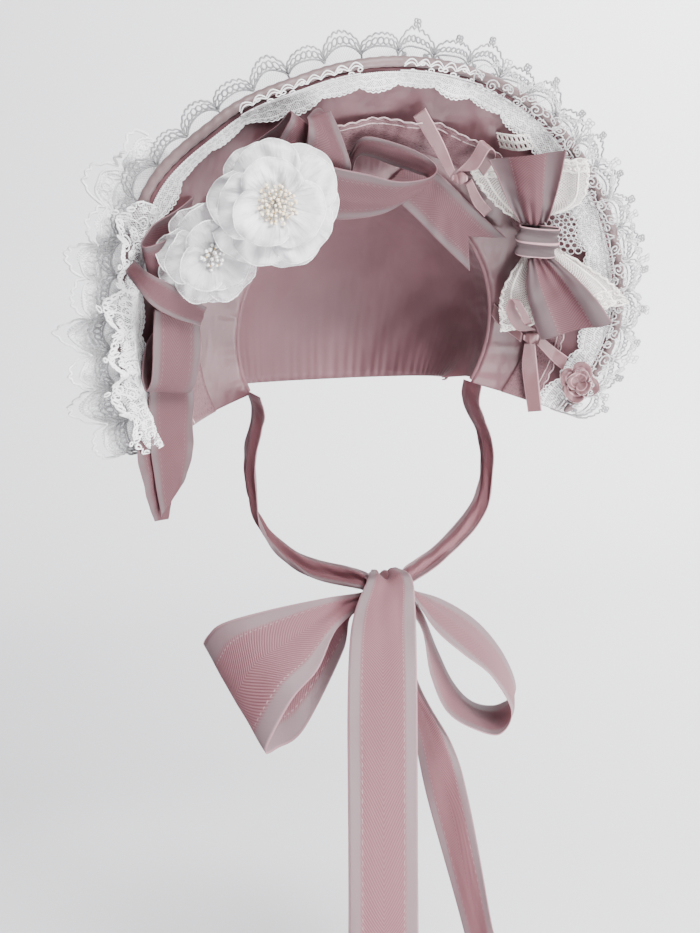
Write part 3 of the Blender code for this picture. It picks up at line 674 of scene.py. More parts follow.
# Light and deep colour
threadKinds = {
    "laceThread": ((0.88, 0.875, 0.88), (0.76, 0.75, 0.76)),
    # The next two are grey copies of the white lace thread, painted shade for cords in shade: the first
    # deep, the second half
    "darkShadedLaceThread": ((0.30, 0.295, 0.305), (0.22, 0.215, 0.225)),
    "rightThread": ((0.54, 0.53, 0.535), (0.40, 0.39, 0.395)),
    "ivoryThread": ((0.80, 0.765, 0.72), (0.62, 0.575, 0.53)),
    "pinkThread": ((0.46, 0.34, 0.35), (0.34, 0.23, 0.24)),
}
# Colour, pitch of the mesh in metres, cover of its holes and thickness of its threads
netKinds = {
    "clearNet": ((0.80, 0.795, 0.81), 0.0015, 0.03, 0.05),
    "softNet": ((0.92, 0.92, 0.935), 0.0016, 0.34, 0.11),
    "laceNet": ((0.84, 0.835, 0.845), 0.0017, 0.14, 0.09),
    "ivoryNet": ((0.60, 0.55, 0.53), 0.0016, 0.34, 0.09),
}
# Light and deep colour, coat and how metallic
beadKinds = {
    "pearl": ((0.88, 0.80, 0.66), (0.74, 0.60, 0.40), 0.6, 0.0),
    "goldBead": ((0.72, 0.52, 0.24), (0.48, 0.32, 0.13), 0.3, 0.6),
    "silverBead": ((0.80, 0.79, 0.78), (0.62, 0.60, 0.58), 0.8, 0.25),
}
materials = {}
for build, kinds in ((ribbonMaterial, ribbonKinds), (clothMaterial, clothKinds),
                     (organzaMaterial, organzaKinds), (threadMaterial, threadKinds),
                     (netMaterial, netKinds), (beadMaterial, beadKinds)):
    materials.update((name, build(name, *values)) for name, values in kinds.items())
print("materials ready")


# The brim: a padded wall whose lining is drawn in soft puckers from its two edges
brim = {"cells": (354, 26), "wall": 0.0024, "pucker": 0.0006, "rows": 46.0}
reach = bonnet["brimReach"]


def brimSheet(u, v):
    around = mixed(-reach, reach, u)
    rows = np.sin(around * math.pi / 180.0 * brim["rows"] + unevenWave(around * 0.2, 2.0) * 2.0)
    ends = np.abs(2.0 * v - 1.0) ** 1.5
    rough = 0.35 * unevenWave(around * 0.35 + v * 4.0, 5.0) * (1 - ends)
    dip = brim["pucker"] * (0.5 + 0.5 * rows * ends + rough)
    return brimPlace(around, v, -bonnet["brimWall"] / 2.0 - np.clip(dip, 0.0, None))


brimRun = lengthOf(liningPoint(np.linspace(-reach, reach, 200), np.full(200, 0.5)))
brimWidth = float(np.linalg.norm(edgePoint(np.array(0.0)) - openingPoint(np.array(0.0))))
brimPiece = clothPiece("brim_cloth", brim["cells"], brimSheet, (brimRun, brimWidth), materials["lining"],
                       "pink_lining", ("brim",), brim["wall"])

# The crown: cloth gathered at its front seam and smooth at the nape, with a band along its edge
crown = {"depth": 0.112, "fullness": 0.10, "wall": 0.0015, "cloth": 0.0011, "casing": 0.012,
         "gathers": 46.0, "gatherDepth": 0.0006, "folds": 9.0, "foldDepth": 0.0014, "cells": (300, 34),
         "sweep": 94.0, "narrowing": 0.12, "bulge": 0.04, "setBack": 0.030, "uneven": 0.0008,
         "inset": 2.0, "casingRipples": 300.0, "casingRipple": 0.0004}


def crownMiddle(around, back):
    front = openingPoint(around)
    rise = np.maximum(front[..., 2] - earLevel, 0.0)
    swing = np.radians(crown["sweep"]) * back
    full = 1.0 + crown["fullness"] * np.sin(math.pi * back)
    depth = crown["depth"] / (bonnet["seatRise"] - earLevel)
    narrow = (1.0 - crown["narrowing"] * back * back) * (1.0 + crown["bulge"] * np.sin(math.pi * back))
    return np.stack([front[..., 0] * narrow,
                     front[..., 1] + rise * depth * np.sin(swing) * full + crown["setBack"] * back,
                     earLevel + rise * np.cos(swing) * full], -1)


def crownPlace(around, back, out):
    along = crownMiddle(around + 1.0, back) - crownMiddle(around - 1.0, back)
    over = crownMiddle(around, back + 0.02) - crownMiddle(around, back - 0.02)
    lift = unit(np.cross(along, over))
    seam = bonnet["brimWall"] + bonnet["clearance"] + crown["wall"] / 2.0
    return crownMiddle(around, back) + lift * out[..., None] + np.array([0.0, seam, 0.0])


def crownSheet(u, v):
    around = mixed(crown["inset"] - reach, reach - crown["inset"], u)
    inside = np.minimum.reduce([8.0 * u, 8.0 * (1.0 - u), 4.0 * v + 0.2, np.ones_like(u)])
    fold = crown["foldDepth"] * (1.0 - v) ** 1.5 * inside * np.sin(fullTurn * crown["folds"] * u)
    run = u * crown["gathers"] * fullTurn + unevenWave(u * 40.0, 3.0) * 1.5
    ends = np.exp(-v * 7.0) + 0.6 * np.exp(-(1.0 - v) * 9.0)
    gather = crown["gatherDepth"] * np.sin(run) * ends * inside
    rough = crown["uneven"] * unevenWave(u * 30.0 + v * 9.0, 4.0) * inside
    return crownPlace(around, v, fold + gather + rough)


def casingSheet(u, v):
    around = mixed(crown["inset"] - reach, reach - crown["inset"], u)
    back = 1.0 - crown["casing"] / (crown["depth"] * 1.6) * v
    out = crown["wall"] / 2.0 + 3.0 * bonnet["clearance"] + bonnet["cadCloth"] / 2.0
    ripple = crown["casingRipple"] * np.sin(u * crown["casingRipples"]) * np.sin(math.pi * v)
    return crownPlace(around, back, out + ripple)


crownPiece = clothPiece("crown_cloth", crown["cells"], crownSheet, (0.42, 0.20), materials["crown"],
                        "pink_lining", ("crown",), crown["cloth"])
casingPiece = clothPiece("crown_band", (240, 6), casingSheet, (0.36, crown["casing"]), materials["crown"],
                         "pink_lining", ("crown_casing",))

# The seam where the crown meets the brim, bound with a narrow roll
binding = {"radius": 0.0019, "inset": 1.5, "setBack": 0.9, "steps": 160, "sides": 8}
seamSteps = np.linspace(binding["inset"] - reach, reach - binding["inset"], binding["steps"])
seamLine = openingPoint(seamSteps) + np.array([0.0, bonnet["brimWall"] * binding["setBack"], 0.0])
threadPiece("crown_seam_binding", [(seamLine, False)], binding["radius"], materials["crown"],
            "pink_lining", (), binding["sides"])

# The rolled piping along the brim's edge, its cloth wound a little askew
piping = {"radius": 0.0036, "cells": (620, 16), "winds": 96.0, "windDepth": 0.00018, "bunch": 0.0002,
          "inset": 0.0002, "length": 0.78}


def pipingPlace(around, angle, radius):
    width = np.linalg.norm(edgePoint(around) - openingPoint(around), axis=-1)
    beyond = 1.0 + (piping["radius"] + 3.0 * bonnet["clearance"]) / width
    middle = brimPlace(around, beyond, -bonnet["brimWall"] / 2.0)
    outward = unit(edgePoint(around) - openingPoint(around))
    front = liningNormal(around, np.clip(beyond, 0.0, 1.0))
    turn = outward * np.cos(angle)[..., None] + front * np.sin(angle)[..., None]
    return middle + turn * radius[..., None]


def pipingSheet(v, u):
    around = mixed(-reach, reach, u)
    angle = -v * fullTurn
    wind = np.sin(u * piping["winds"] * fullTurn + angle + unevenWave(u * 60.0, 2.0))
    bulk = piping["bunch"] * unevenWave(u * 90.0, 6.0)
    ends = np.clip(np.minimum(u, 1.0 - u) * 150.0, 0.0, 1.0) ** 0.5
    radius = piping["radius"] - piping["inset"] + piping["windDepth"] * wind + bulk * 0.4
    return pipingPlace(around, angle, radius * ends)


pipingPiece = linked("piping_roll", gridMesh("piping_roll", piping["cells"][::-1], pipingSheet,
                                             (fullTurn * piping["radius"], piping["length"]), closed=True))
finished(pipingPiece, materials["piping"], "pink_twill", ("edge_piping",))
print("brim, crown and piping done")

# Ribbons on the brim: for one edge and then the other, degrees around, share across the brim
# and height as a share of the ribbon's width
ribbonWidth = 0.040
sewn = (bonnet["cadCloth"] / 2.0 + 2.0 * bonnet["clearance"]) / ribbonWidth
brimRibbons = {
    "side_loop_lower": (
        (-83.0, 0.97, 0.50, -79.0, 0.52, 0.52), (-91.3, 0.99, 0.57, -91.7, 0.48, 0.58),
        (-99.4, 1.00, 0.50, -102.4, 0.53, 0.50), (-102.9, 1.02, 0.37, -106.7, 0.60, 0.37),
        (-100.1, 1.00, 0.24, -104.2, 0.52, 0.24), (-92.8, 0.91, 0.20, -93.9, 0.43, 0.20),
        (-88.0, 0.79, 0.17, -87.6, 0.56, 0.17), (-84.2, 0.735, sewn, -83.4, 0.69, sewn),
    ),
    "side_tail_front": (
        (-100.6, 0.87, 0.11, -106.5, 0.45, 0.11), (-109.1, 0.98, 0.12, -115.2, 0.58, 0.12),
        (-118.3, 1.13, 0.16, -124.3, 0.81, 0.16), (-130.4, 1.41, 0.20, -127.8, 1.04, 0.20),
    ),
    "side_loop_upper": (
        (-58.6, 0.77, 0.56, -67.4, 0.48, 0.44), (-66.0, 0.95, 0.60, -73.8, 0.76, 0.46),
        (-69.8, 1.07, 0.58, -77.4, 0.98, 0.44), (-69.9, 1.10, 0.44, -76.4, 1.00, 0.33),
        (-65.7, 1.01, 0.28, -72.9, 0.91, 0.20), (-60.3, 0.85, 0.24, -68.4, 0.70, 0.17),
        (-55.4, 0.72, sewn, -59.6, 0.65, sewn),
    ),
    "side_wrap": (
        (-73.8, 1.05, 0.065, -76.2, 1.06, 0.065), (-74.2, 1.10, 0.40, -76.5, 1.16, 0.30),
        (-75.0, 1.08, 0.66, -78.5, 1.13, 0.58), (-76.2, 0.98, 0.75, -81.2, 1.02, 0.72),
        (-77.8, 0.78, 0.76, -84.0, 0.85, 0.74), (-79.6, 0.50, 0.70, -85.4, 0.54, 0.70),
    ),
    "loop_left_top": (
        (-36.5, 0.74, 0.60, -31.0, 0.50, 0.60), (-28.0, 0.99, 0.60, -22.8, 0.72, 0.60),
        (-27.5, 0.98, 0.40, -22.9, 0.77, 0.40), (-31.1, 0.83, 0.24, -25.2, 0.66, 0.22),
        (-36.3, 0.73, sewn, -33.0, 0.65, sewn),
    ),
    "loop_middle_top": (
        (-30.4, 0.48, 0.75, -21.0, 0.34, 0.75), (-25.1, 0.92, 0.75, -15.3, 0.41, 0.75),
        (-23.9, 0.95, 0.55, -18.7, 0.91, 0.55), (-19.3, 0.84, 0.25, -15.7, 0.53, 0.25),
        (-21.1, 0.45, 0.17, -16.1, 0.41, 0.17), (-21.8, 0.30, sewn, -17.5, 0.20, sewn),
    ),
    "crown_loop": (
        (-29.3, 0.72, 0.92, -35.6, 0.18, 0.60), (-21.9, 0.55, 1.00, -28.5, 0.06, 0.70),
        (-12.6, 0.37, 1.00, -18.0, 0.00, 0.75), (-0.1, 0.25, 1.00, -2.9, 0.00, 0.75),
        (10.2, 0.26, 0.85, 9.8, 0.10, 0.65), (15.2, 0.32, 0.60, 15.0, 0.21, 0.45),
        (13.1, 0.37, 0.38, 11.5, 0.22, 0.30), (3.5, 0.44, 0.31, 4.4, 0.24, 0.24),
        (-8.0, 0.50, 0.24, -8.4, 0.33, 0.18), (-12.0, 0.29, sewn, -11.0, 0.15, sewn),
    ),
    "swallow_tail": (
        (1.6, 0.05, sewn, 12.0, 0.31, sewn), (15.6, -0.08, 0.16, 24.0, 0.23, 0.16),
        (37.3, -0.17, 0.22, 40.5, 0.18, 0.22), (59.9, -0.11, 0.26, 56.4, 0.24, 0.26),
    ),
    "lace_tape": (
        (30.1, 0.72, sewn, 33.6, 0.65, sewn), (32.4, 0.82, 0.25, 36.2, 0.75, 0.25),
        (35.4, 0.90, 0.24, 38.9, 0.85, 0.24),
    ),
    "narrow_bow_top_tail": (
        (5.5, 0.66, 0.22, 8.1, 0.74, 0.20), (13.4, 0.45, 0.29, 16.6, 0.51, 0.29),
        (22.9, 0.28, 0.38, 23.2, 0.35, 0.38),
    ),
    "narrow_bow_top_loop": (
        (24.0, 0.35, 0.38, 26.4, 0.38, 0.38), (25.1, 0.50, 0.43, 29.2, 0.46, 0.43),
        (24.2, 0.69, 0.50, 28.2, 0.66, 0.50), (28.7, 0.62, 0.34, 32.2, 0.61, 0.34),
        (29.8, 0.45, 0.31, 33.5, 0.42, 0.31),
    ),
    "narrow_bow_top_end": (
        (29.6, 0.29, 0.36, 30.3, 0.35, 0.36), (37.1, 0.20, 0.28, 38.0, 0.28, 0.28),
        (43.9, 0.19, 0.27, 44.0, 0.27, 0.27),
    ),
    "narrow_bow_side_tail": (
        (97.35, 0.28, 0.36, 97.45, 0.38, 0.36), (107.7, 0.38, 0.22, 107.5, 0.54, 0.22),
        (121.7, 0.76, 0.20, 120.0, 0.88, 0.20),
    ),
    "narrow_bow_side_left": (
        (81.5, 0.02, sewn, 86.4, 0.00, sewn), (85.9, 0.09, 0.14, 90.7, 0.06, 0.14),
        (93.4, 0.235, 0.40, 96.4, 0.235, 0.40),
    ),
    "narrow_bow_side_loop": (
        (92.15, 0.34, 0.43, 92.15, 0.26, 0.43), (88.6, 0.23, 0.46, 90.4, 0.15, 0.46),
        (80.8, 0.14, 0.52, 81.7, 0.06, 0.52),
        (78.0, 0.17, 0.66, 76.0, 0.10, 0.66), (88.3, 0.29, 0.59, 88.5, 0.22, 0.59),
    ),
    "narrow_bow_side_right": (
        (94.6, 0.405, 0.40, 98.0, 0.405, 0.40), (99.6, 0.60, 0.25, 104.2, 0.64, 0.25),
        (102.3, 0.75, 0.20, 106.4, 0.77, 0.20),
    ),
}
# Pleated fans of the big bow, from the knot outwards, in the same columns
bowFans = {
    "bow_wing_upper": (
        (51.9, 0.40, 0.62, 56.6, 0.62, 0.62), (42.8, 0.43, 0.67, 52.0, 0.77, 0.67),
        (34.8, 0.52, 0.62, 47.4, 0.92, 0.62), (29.9, 0.58, 0.50, 43.1, 1.02, 0.50),
    ),
    "bow_wing_lower": (
        (64.3, 0.33, 0.62, 66.6, 0.53, 0.62), (73.3, 0.24, 0.70, 76.5, 0.74, 0.70),
        (83.5, 0.27, 0.67, 83.6, 0.89, 0.67), (95.1, 0.40, 0.55, 90.7, 1.00, 0.55),
    ),
    "lace_wing_upper": (
        (55.9, 0.42, 0.28, 56.7, 0.57, 0.28), (43.7, 0.32, 0.26, 57.9, 0.92, 0.30),
        (33.9, 0.34, 0.19, 52.9, 1.05, 0.30), (28.9, 0.39, 0.18, 49.4, 1.10, 0.25),
    ),
    "lace_wing_lower": (
        (63.2, 0.38, 0.30, 64.2, 0.53, 0.30), (72.0, 0.10, 0.32, 75.9, 0.84, 0.35),
        (80.5, 0.03, 0.31, 81.6, 1.00, 0.35), (92.0, 0.05, 0.31, 86.9, 1.11, 0.30),
    ),
}
# Ribbons under the chin: for one edge and then the other, right, back and up from the knot as
# shares of their width
chinWidth = 0.050
chinRibbons = {
    "chin_loop_left": (
        (-0.12, 0.00, 0.06, -0.12, 0.00, -0.14), (-0.336, -0.02, -0.02, -0.336, -0.06, -0.20),
        (-0.99, -0.32, 0.03, -0.84, -0.38, -0.40),
        (-1.90, -0.44, -0.04, -1.14, -0.46, -0.90), (-2.48, -0.36, -0.20, -1.50, -0.44, -1.30),
        (-2.60, -0.08, -0.51, -1.78, -0.16, -2.07), (-2.36, 0.20, -0.42, -1.54, 0.08, -2.15),
        (-1.68, 0.32, -0.30, -1.09, 0.28, -1.98), (-0.83, 0.28, -0.17, -0.51, 0.32, -0.95),
        (-0.40, 0.16, -0.10, -0.46, 0.14, -0.40), (-0.12, 0.02, 0.00, -0.12, 0.02, -0.20),
    ),
    "chin_loop_right": (
        (0.12, 0.02, 0.04, 0.12, -0.02, -0.10), (0.336, 0.04, -0.06, 0.336, -0.08, -0.10),
        (1.01, 0.42, -0.37, 0.61, -0.34, -0.55),
        (1.62, 0.54, -0.80, 1.00, -0.38, -0.92), (2.09, 0.60, -1.39, 1.45, -0.36, -1.33),
        (2.28, 0.60, -1.90, 1.78, -0.32, -1.88), (1.97, 0.58, -2.10, 1.61, -0.30, -2.21),
        (1.57, 0.54, -1.98, 1.20, -0.32, -2.06), (1.20, 0.44, -1.60, 0.80, -0.30, -1.76),
        (0.91, 0.32, -1.07, 0.58, -0.28, -1.23), (0.62, 0.18, -0.44, 0.50, -0.14, -0.62),
        (0.34, 0.08, -0.12, 0.24, -0.08, -0.26), (0.10, 0.02, -0.02, 0.06, -0.02, -0.16),
    ),
    "chin_tail_front": (
        (-0.22, -0.03, 0.28, 0.14, -0.03, 0.28), (-0.40, -0.34, 0.22, 0.24, -0.34, 0.22),
        (-0.62, -0.44, -0.20, 0.27, -0.44, -0.20),
        (-0.69, -0.44, -0.83, 0.29, -0.44, -0.93), (-0.68, -0.36, -2.56, 0.35, -0.36, -2.69),
        (-0.66, -0.32, -4.83, 0.40, -0.32, -4.93), (-0.66, -0.31, -6.00, 0.41, -0.31, -5.60),
    ),
    "chin_tail_back": (
        (-0.07, 0.02, -0.265, 0.11, -0.02, -0.265), (0.10, 0.10, -1.06, 0.54, 0.00, -1.52),
        (0.43, 0.16, -2.00, 1.01, 0.00, -2.37), (0.78, 0.32, -3.30, 1.30, 0.04, -3.26),
        (1.47, 0.52, -5.55, 1.73, 0.16, -5.20), (1.55, 0.54, -5.95, 1.80, 0.18, -5.55),
    ),
}
# How each ribbon's cloth lies: depth of its soft folds, curl of its edges, depth of the gathers at
# its two ends and of the single fold with which it leaves its knot, in metres, and the folds' seed
ribbonLay = {
    "side_loop_lower": (0.0007, 0.0004, 0.0010, 0.0004, 0.0, 1.0),
    "side_tail_front": (0.0008, 0.0003, 0.0006, 0.0, 0.0, 2.0),
    "side_loop_upper": (0.0007, 0.0004, 0.0010, 0.0004, 0.0, 3.0),
    "side_wrap": (0.0005, 0.0003, 0.0004, 0.0004, 0.0, 4.0),
    "loop_left_top": (0.0007, 0.0004, 0.0010, 0.0004, 0.0, 5.0),
    "loop_middle_top": (0.0007, 0.0004, 0.0010, 0.0004, 0.0, 6.0),
    "crown_loop": (0.0009, 0.0005, 0.0012, 0.0005, 0.0, 7.0),
    "swallow_tail": (0.0006, 0.0003, 0.0006, 0.0, 0.0, 8.0),
    "chin_loop_left": (0.0010, 0.0004, 0.0016, 0.0016, 0.008, 9.0),
    "chin_loop_right": (0.0010, 0.0004, 0.0016, 0.0016, 0.005, 10.0),
    "chin_tail_front": (0.0011, 0.0003, 0.0, 0.0, 0.013, 11.0),
    "chin_tail_back": (0.0011, 0.0003, 0.0016, 0.0, 0.004, 12.0),
}
narrowLay = (0.0002, 0.0002, 0.0, 0.0, 0.0, 13.0)


def ribbonPlace(first, second, lay, notch=0.0):
    fold, curl, gatherStart, gatherEnd, knotFold, seed = lay

    def height(u, v):
        loose = np.clip(np.minimum(u, 1.0 - u) * 8.0, 0.0, 1.0)
        return (fold * unevenWave(u * 9.0 + v * 2.2, seed) * (0.4 + 0.6 * loose)
                + 0.5 * fold * unevenWave(u * 5.0 - v * 6.0, seed + 0.5)
                + curl * (2.0 * v - 1.0) ** 2 * unevenWave(u * 14.0, seed + 2.0)
                + gatherStart * np.sin(v * fullTurn * 2.5 + seed) * np.exp(-u * 16.0)
                - knotFold * np.exp(-((v - 0.46) * 7.0) ** 2 - u * 9.0)
                + gatherEnd * np.sin(v * fullTurn * 2.0 + seed) * np.exp(-(1.0 - u) * 16.0))

    return sheetBetween(first, second, height, notch)


def brimEdges(rows):
    rows = np.array(rows)
    return (brimPlace(rows[:, 0], rows[:, 1], rows[:, 2] * ribbonWidth),
            brimPlace(rows[:, 3], rows[:, 4], rows[:, 5] * ribbonWidth))


def ribbonPiece(name, first, second, width, lay, material, slot, notch=0.0, cells=None):
    steps = np.linspace(0.0, 1.0, 120)
    length = (lengthOf(curveAt(first, steps)) + lengthOf(curveAt(second, steps))) / 2.0
    counts = cells or (max(int(length / 0.0011), 24), 26)
    piece = clothPiece(name + "_cloth", counts, ribbonPlace(first, second, lay, notch), (length, width),
                       material, slot, (name,))


narrowWidth = 0.010
swallowNotch = 0.22
for name, rows in brimRibbons.items():
    first, second = brimEdges(rows)
    if name.startswith("narrow"):
        ribbonPiece(name, first, second, narrowWidth, narrowLay, materials["narrowSatin"], "pink_satin",
                    cells=(max(int(lengthOf(first) / 0.0009), 16), 8))
    elif name != "lace_tape":
        notch = swallowNotch if name == "swallow_tail" else 0.0
        ribbonPiece(name, first, second, ribbonWidth, ribbonLay[name], materials["loopRibbon"],
                    "pink_twill", notch)
# The short back tail that shows behind the front one, below the brim's end
backTailWidth = 0.028
backTail = ((-114.0, 1.16, 0.11, -117.5, 1.02, 0.08), (-118.8, 1.26, 0.12, -123.3, 1.05, 0.08),
            (-125.7, 1.38, 0.14, -129.4, 1.20, 0.08), (-130.5, 1.47, 0.14, -132.3, 1.36, 0.08))
first, second = brimEdges(backTail)
backTailPiece = clothPiece("side_tail_back", (44, 20),
                           ribbonPlace(first, second, ribbonLay["side_tail_front"]),
                           (lengthOf(first), backTailWidth), materials["loopRibbon"], "pink_twill")
lengthOf(first)
print("ribbons on the brim done")

# The ribbon tied under the chin: a knot, two loops, two tails and the straps up to the brim
knotPlace = np.array([-0.017, -0.078, -0.262])
strapEnd = (0.33, 0.06, 0.13)      # where the straps meet the knot: out, back and up, in chinWidth
# Share of the way, bow outwards and back as shares of headHalfWidth, width as a share of
# chinWidth and lean of the width from flat in degrees
chinStraps = {
    "chin_strap_right": (
        (0.00, 0.00, -0.05, 0.66, 0.0), (0.12, 0.07, 0.00, 0.64, 2.0), (0.38, 0.36, 0.10, 0.56, 12.0),
        (0.69, 0.50, 0.18, 0.42, 30.0), (0.90, 0.26, 0.08, 0.30, 50.0), (1.00, 0.00, 0.00, 0.26, 65.0),
        (1.05, -0.06, 0.00, 0.20, 70.0)),
    "chin_strap_left": (
        (0.00, 0.00, -0.05, 0.66, 0.0), (0.12, 0.05, 0.00, 0.64, 2.0), (0.38, 0.29, 0.12, 0.58, 12.0),
        (0.70, 0.46, 0.22, 0.50, 30.0), (0.92, 0.34, 0.16, 0.36, 50.0), (1.00, 0.00, 0.00, 0.28, 65.0),
        (1.05, -0.06, 0.00, 0.20, 70.0)),
}
strapLay = {"folds": 3.0, "foldDepth": 0.0022, "creases": 0.0012}
strapLap = 0.001


def strapEdges(rows, side):
    rows = np.array(rows)
    gap = bonnet["clearance"]
    inset = np.array([-side * (bonnet["cadCloth"] / 2.0 + gap), gap, strapLap])
    top = openingPoint(np.array(side * reach)) + inset
    low = knotPlace + np.array([side * strapEnd[0], *strapEnd[1:]]) * chinWidth
    bow = np.stack([side * rows[:, 1], rows[:, 2], rows[:, 0] * 0.0], -1) * bonnet["headHalfWidth"]
    middle = top + (low - top) * rows[:, :1] + bow
    turn = np.radians(rows[:, 4])
    half = np.stack([turn * 0.0, np.cos(turn), np.sin(turn)], -1) * (chinWidth / 2.0 * rows[:, 3:4])
    return middle - half, middle + half


def strapPlace(first, second, seed):
    def height(u, v):
        squeeze = eased(np.clip(u * 4.0, 0.0, 1.0)) * (0.45 + 0.55 * u)
        fold = v * fullTurn * strapLay["folds"] / 2.0 + unevenWave(u * 7.0, seed)
        crease = strapLay["creases"] * unevenWave(u * 26.0 + v * 5.0, seed + 1.0)
        return (strapLay["foldDepth"] * np.sin(fold) + crease) * squeeze

    return sheetBetween(first, second, height)


for name, rows in chinStraps.items():
    side = 1.0 if name.endswith("right") else -1.0
    first, second = strapEdges(rows, side)
    length = middleLength(first, second, 80)
    strap = clothPiece(name + "_cloth", (200, 26), strapPlace(first, second, 14.0 + side),
                       (length, chinWidth), materials["chinRibbon"], "pink_twill", (name,))
for name, rows in chinRibbons.items():
    rows = np.array(rows) * chinWidth
    held = "folded" if "loop" in name else "hung"
    ribbonPiece(name, knotPlace + rows[:, :3], knotPlace + rows[:, 3:], chinWidth, ribbonLay[name],
                materials["chinRibbon"], "pink_twill")


# A knot: bands of ribbon wound round the middle of a bow, with folds along them. The band runs
# around in the plane of up and out, and its width lies along side.
knot = {"groove": 0.0011, "crease": 0.0004, "inset": 0.0014, "roundness": 0.72, "taper": 0.10}


def squared(wave):
    return np.sign(wave) * np.abs(wave) ** knot["roundness"]


def bandPiece(name, middle, axes, size, folds, material, slot, seed, cells=(96, 60)):
    side, up, out = axes

    def place(u, v):
        angle = (u + 0.5) * fullTurn
        share = 2.0 * v - 1.0
        relief = knot["groove"] * np.cos(share * math.pi * folds + 0.5 * np.sin(angle + seed))
        relief = relief + knot["crease"] * unevenWave(share * 6.0 + angle, seed) - knot["inset"]
        bulge = 1.0 - knot["taper"] * np.abs(share) ** 3
        rise = squared(np.sin(angle)) * (size[2] / 2.0 * bulge + relief)
        front = squared(np.cos(angle)) * (size[1] / 2.0 * bulge + relief)
        across = share * size[0] / 2.0 * (1.0 + 0.05 * np.cos(angle))
        return middle + side * across[..., None] + up * rise[..., None] + out * front[..., None]

    node = "chin_knot" if name == "knot" else name
    clothPiece(name + "_band", cells, place, (2.0 * (size[1] + size[2]), size[0]), material, slot, (node,))


flatAxes = (np.array([1.0, 0.0, 0.0]), np.array([0.0, 0.0, 1.0]), np.array([0.0, -1.0, 0.0]))
chinKnotSize = (0.030, 0.020, 0.024)
bandPiece("knot", knotPlace, flatAxes, chinKnotSize, 3.0, materials["chinRibbon"], "pink_twill", 21.0)


def brimAxes(around, across):
    out = liningNormal(np.array(around), np.array(across))
    side = unit(np.array([1.0, 0.0, 0.0]) - out * out[0])
    return side, np.cross(out, side), out


# Knots on the brim: degrees around, share across, height as a share of ribbonWidth, size
brimKnots = {
    "bow_knot": (60.0, 0.47, 0.64, (0.021, 0.011, 0.032)),
    "bow_base": (60.0, 0.47, 0.285, (0.012, 0.0146, 0.012)),
    "narrow_knot_top": (26.3, 0.31, 0.38, (0.011, 0.005, 0.009)),
    "narrow_knot_side": (95.0, 0.32, 0.42, (0.011, 0.005, 0.009)),
}
for name, (around, across, height, size) in brimKnots.items():
    middle = brimPlace(around, across, height * ribbonWidth)
    side, up, out = brimAxes(around, across)
    if name == "bow_knot":
        bandPiece(name, middle, (up, side, out), size, 2.0, materials["shadedBandSatin"], "pink_twill",
                  22.0 + around, (96, 48))
    else:
        bandPiece(name, middle, (side, up, out), size, 1.0, materials["narrowSatin"], "pink_satin",
                  22.0 + around, (48, 20))
print("chin tie and knots done")

# The big bow: fans pleated towards the knot, and the lace wings behind them
fanLay = {
    "bow_wing": {"pleats": 3.0, "depth": 0.0028, "seed": 24.0, "width": ribbonWidth, "held": "folded",
                 "wall": bonnet["cloth"], "kind": "_cloth", "material": "bowRibbon", "slot": "pink_twill"},
    "lace_wing": {"pleats": 6.0, "depth": 0.0022, "seed": 27.0, "width": 0.080, "held": "gathered",
                  "wall": bonnet["lace"], "kind": "_net", "material": "ivoryNet", "slot": "white_lace"},
}
fanCells, fanCrease = (48, 84), 0.80
fans = {name: brimEdges(rows) for name, rows in bowFans.items()}


def fanPlace(name):
    lay = fanLay[name.rsplit("_", 1)[0]]
    seed = lay["seed"] + len(name)

    def height(u, v):
        wave = np.sin(math.pi * lay["pleats"] * v + 0.5 * np.sin(v * fullTurn + seed))
        crisp = np.sign(wave) * np.abs(wave) ** fanCrease
        return (lay["depth"] * crisp * np.sin(math.pi * (0.12 + 0.55 * u)) * (1.0 - 0.35 * u)
                + 0.0007 * unevenWave(u * 7.0 + v * 3.0, seed)
                + 0.0012 * np.sin(v * fullTurn * 4.5 + seed) * np.exp(-u * 4.0))

    return sheetBetween(*fans[name], height)


for name, (first, second) in fans.items():
    lay = fanLay[name.rsplit("_", 1)[0]]
    length = middleLength(first, second, 60)
    wing = clothPiece(name + lay["kind"], fanCells, fanPlace(name), (length, lay["width"]),
                      materials[lay["material"]], lay["slot"], (name,), lay["wall"])
print("bow done")


# Gathered lace and the ruffle: strips that stand out from the brim in arches. The front and the
# right lace start on the lining and lap outwards over the piping.
strips = {
    "edge_lace": {"from": -reach, "to": reach, "across": 0.86, "width": 0.033, "waves": 30, "wave": 0.005,
                  "lean": -0.30, "scallop": 0.34, "height": -0.0038, "round": 0.50, "ripple": 0.0006},
    "side_lace": {"from": -reach, "to": -52.0, "across": 0.80, "width": 0.046, "waves": 9, "wave": 0.007,
                  "lean": -0.55, "scallop": 0.30, "height": -0.0038, "round": 0.5, "ripple": 0.0030},
    "inner_lace": {"from": -reach, "to": reach, "across": 0.985, "width": -0.020, "waves": 26,
                   "wave": 0.003, "lean": -0.20, "scallop": 0.30, "height": 0.0011, "round": 0.7,
                   "ripple": 0.0008},
    "headline_ruffle": {"from": -reach, "to": reach, "across": 0.34, "width": 0.024, "waves": 24,
                        "wave": 0.0055, "lean": 0.30, "scallop": 0.0, "height": 0.0011, "round": 1.0,
                        "ripple": 0.0022},
    "front_lace": {"from": -reach, "to": -62.0, "across": 0.91, "width": 0.029, "waves": 6, "wave": 0.005,
                   "lean": -0.10, "scallop": 0.34, "height": 0.0014, "round": 0.6, "ripple": 0.0030},
    "right_lace": {"from": 16.0, "to": reach, "across": 0.93, "width": 0.030, "waves": 9, "wave": 0.004,
                   "lean": -0.05, "scallop": 0.36, "height": 0.0014, "round": 0.6, "ripple": 0.0026},
}
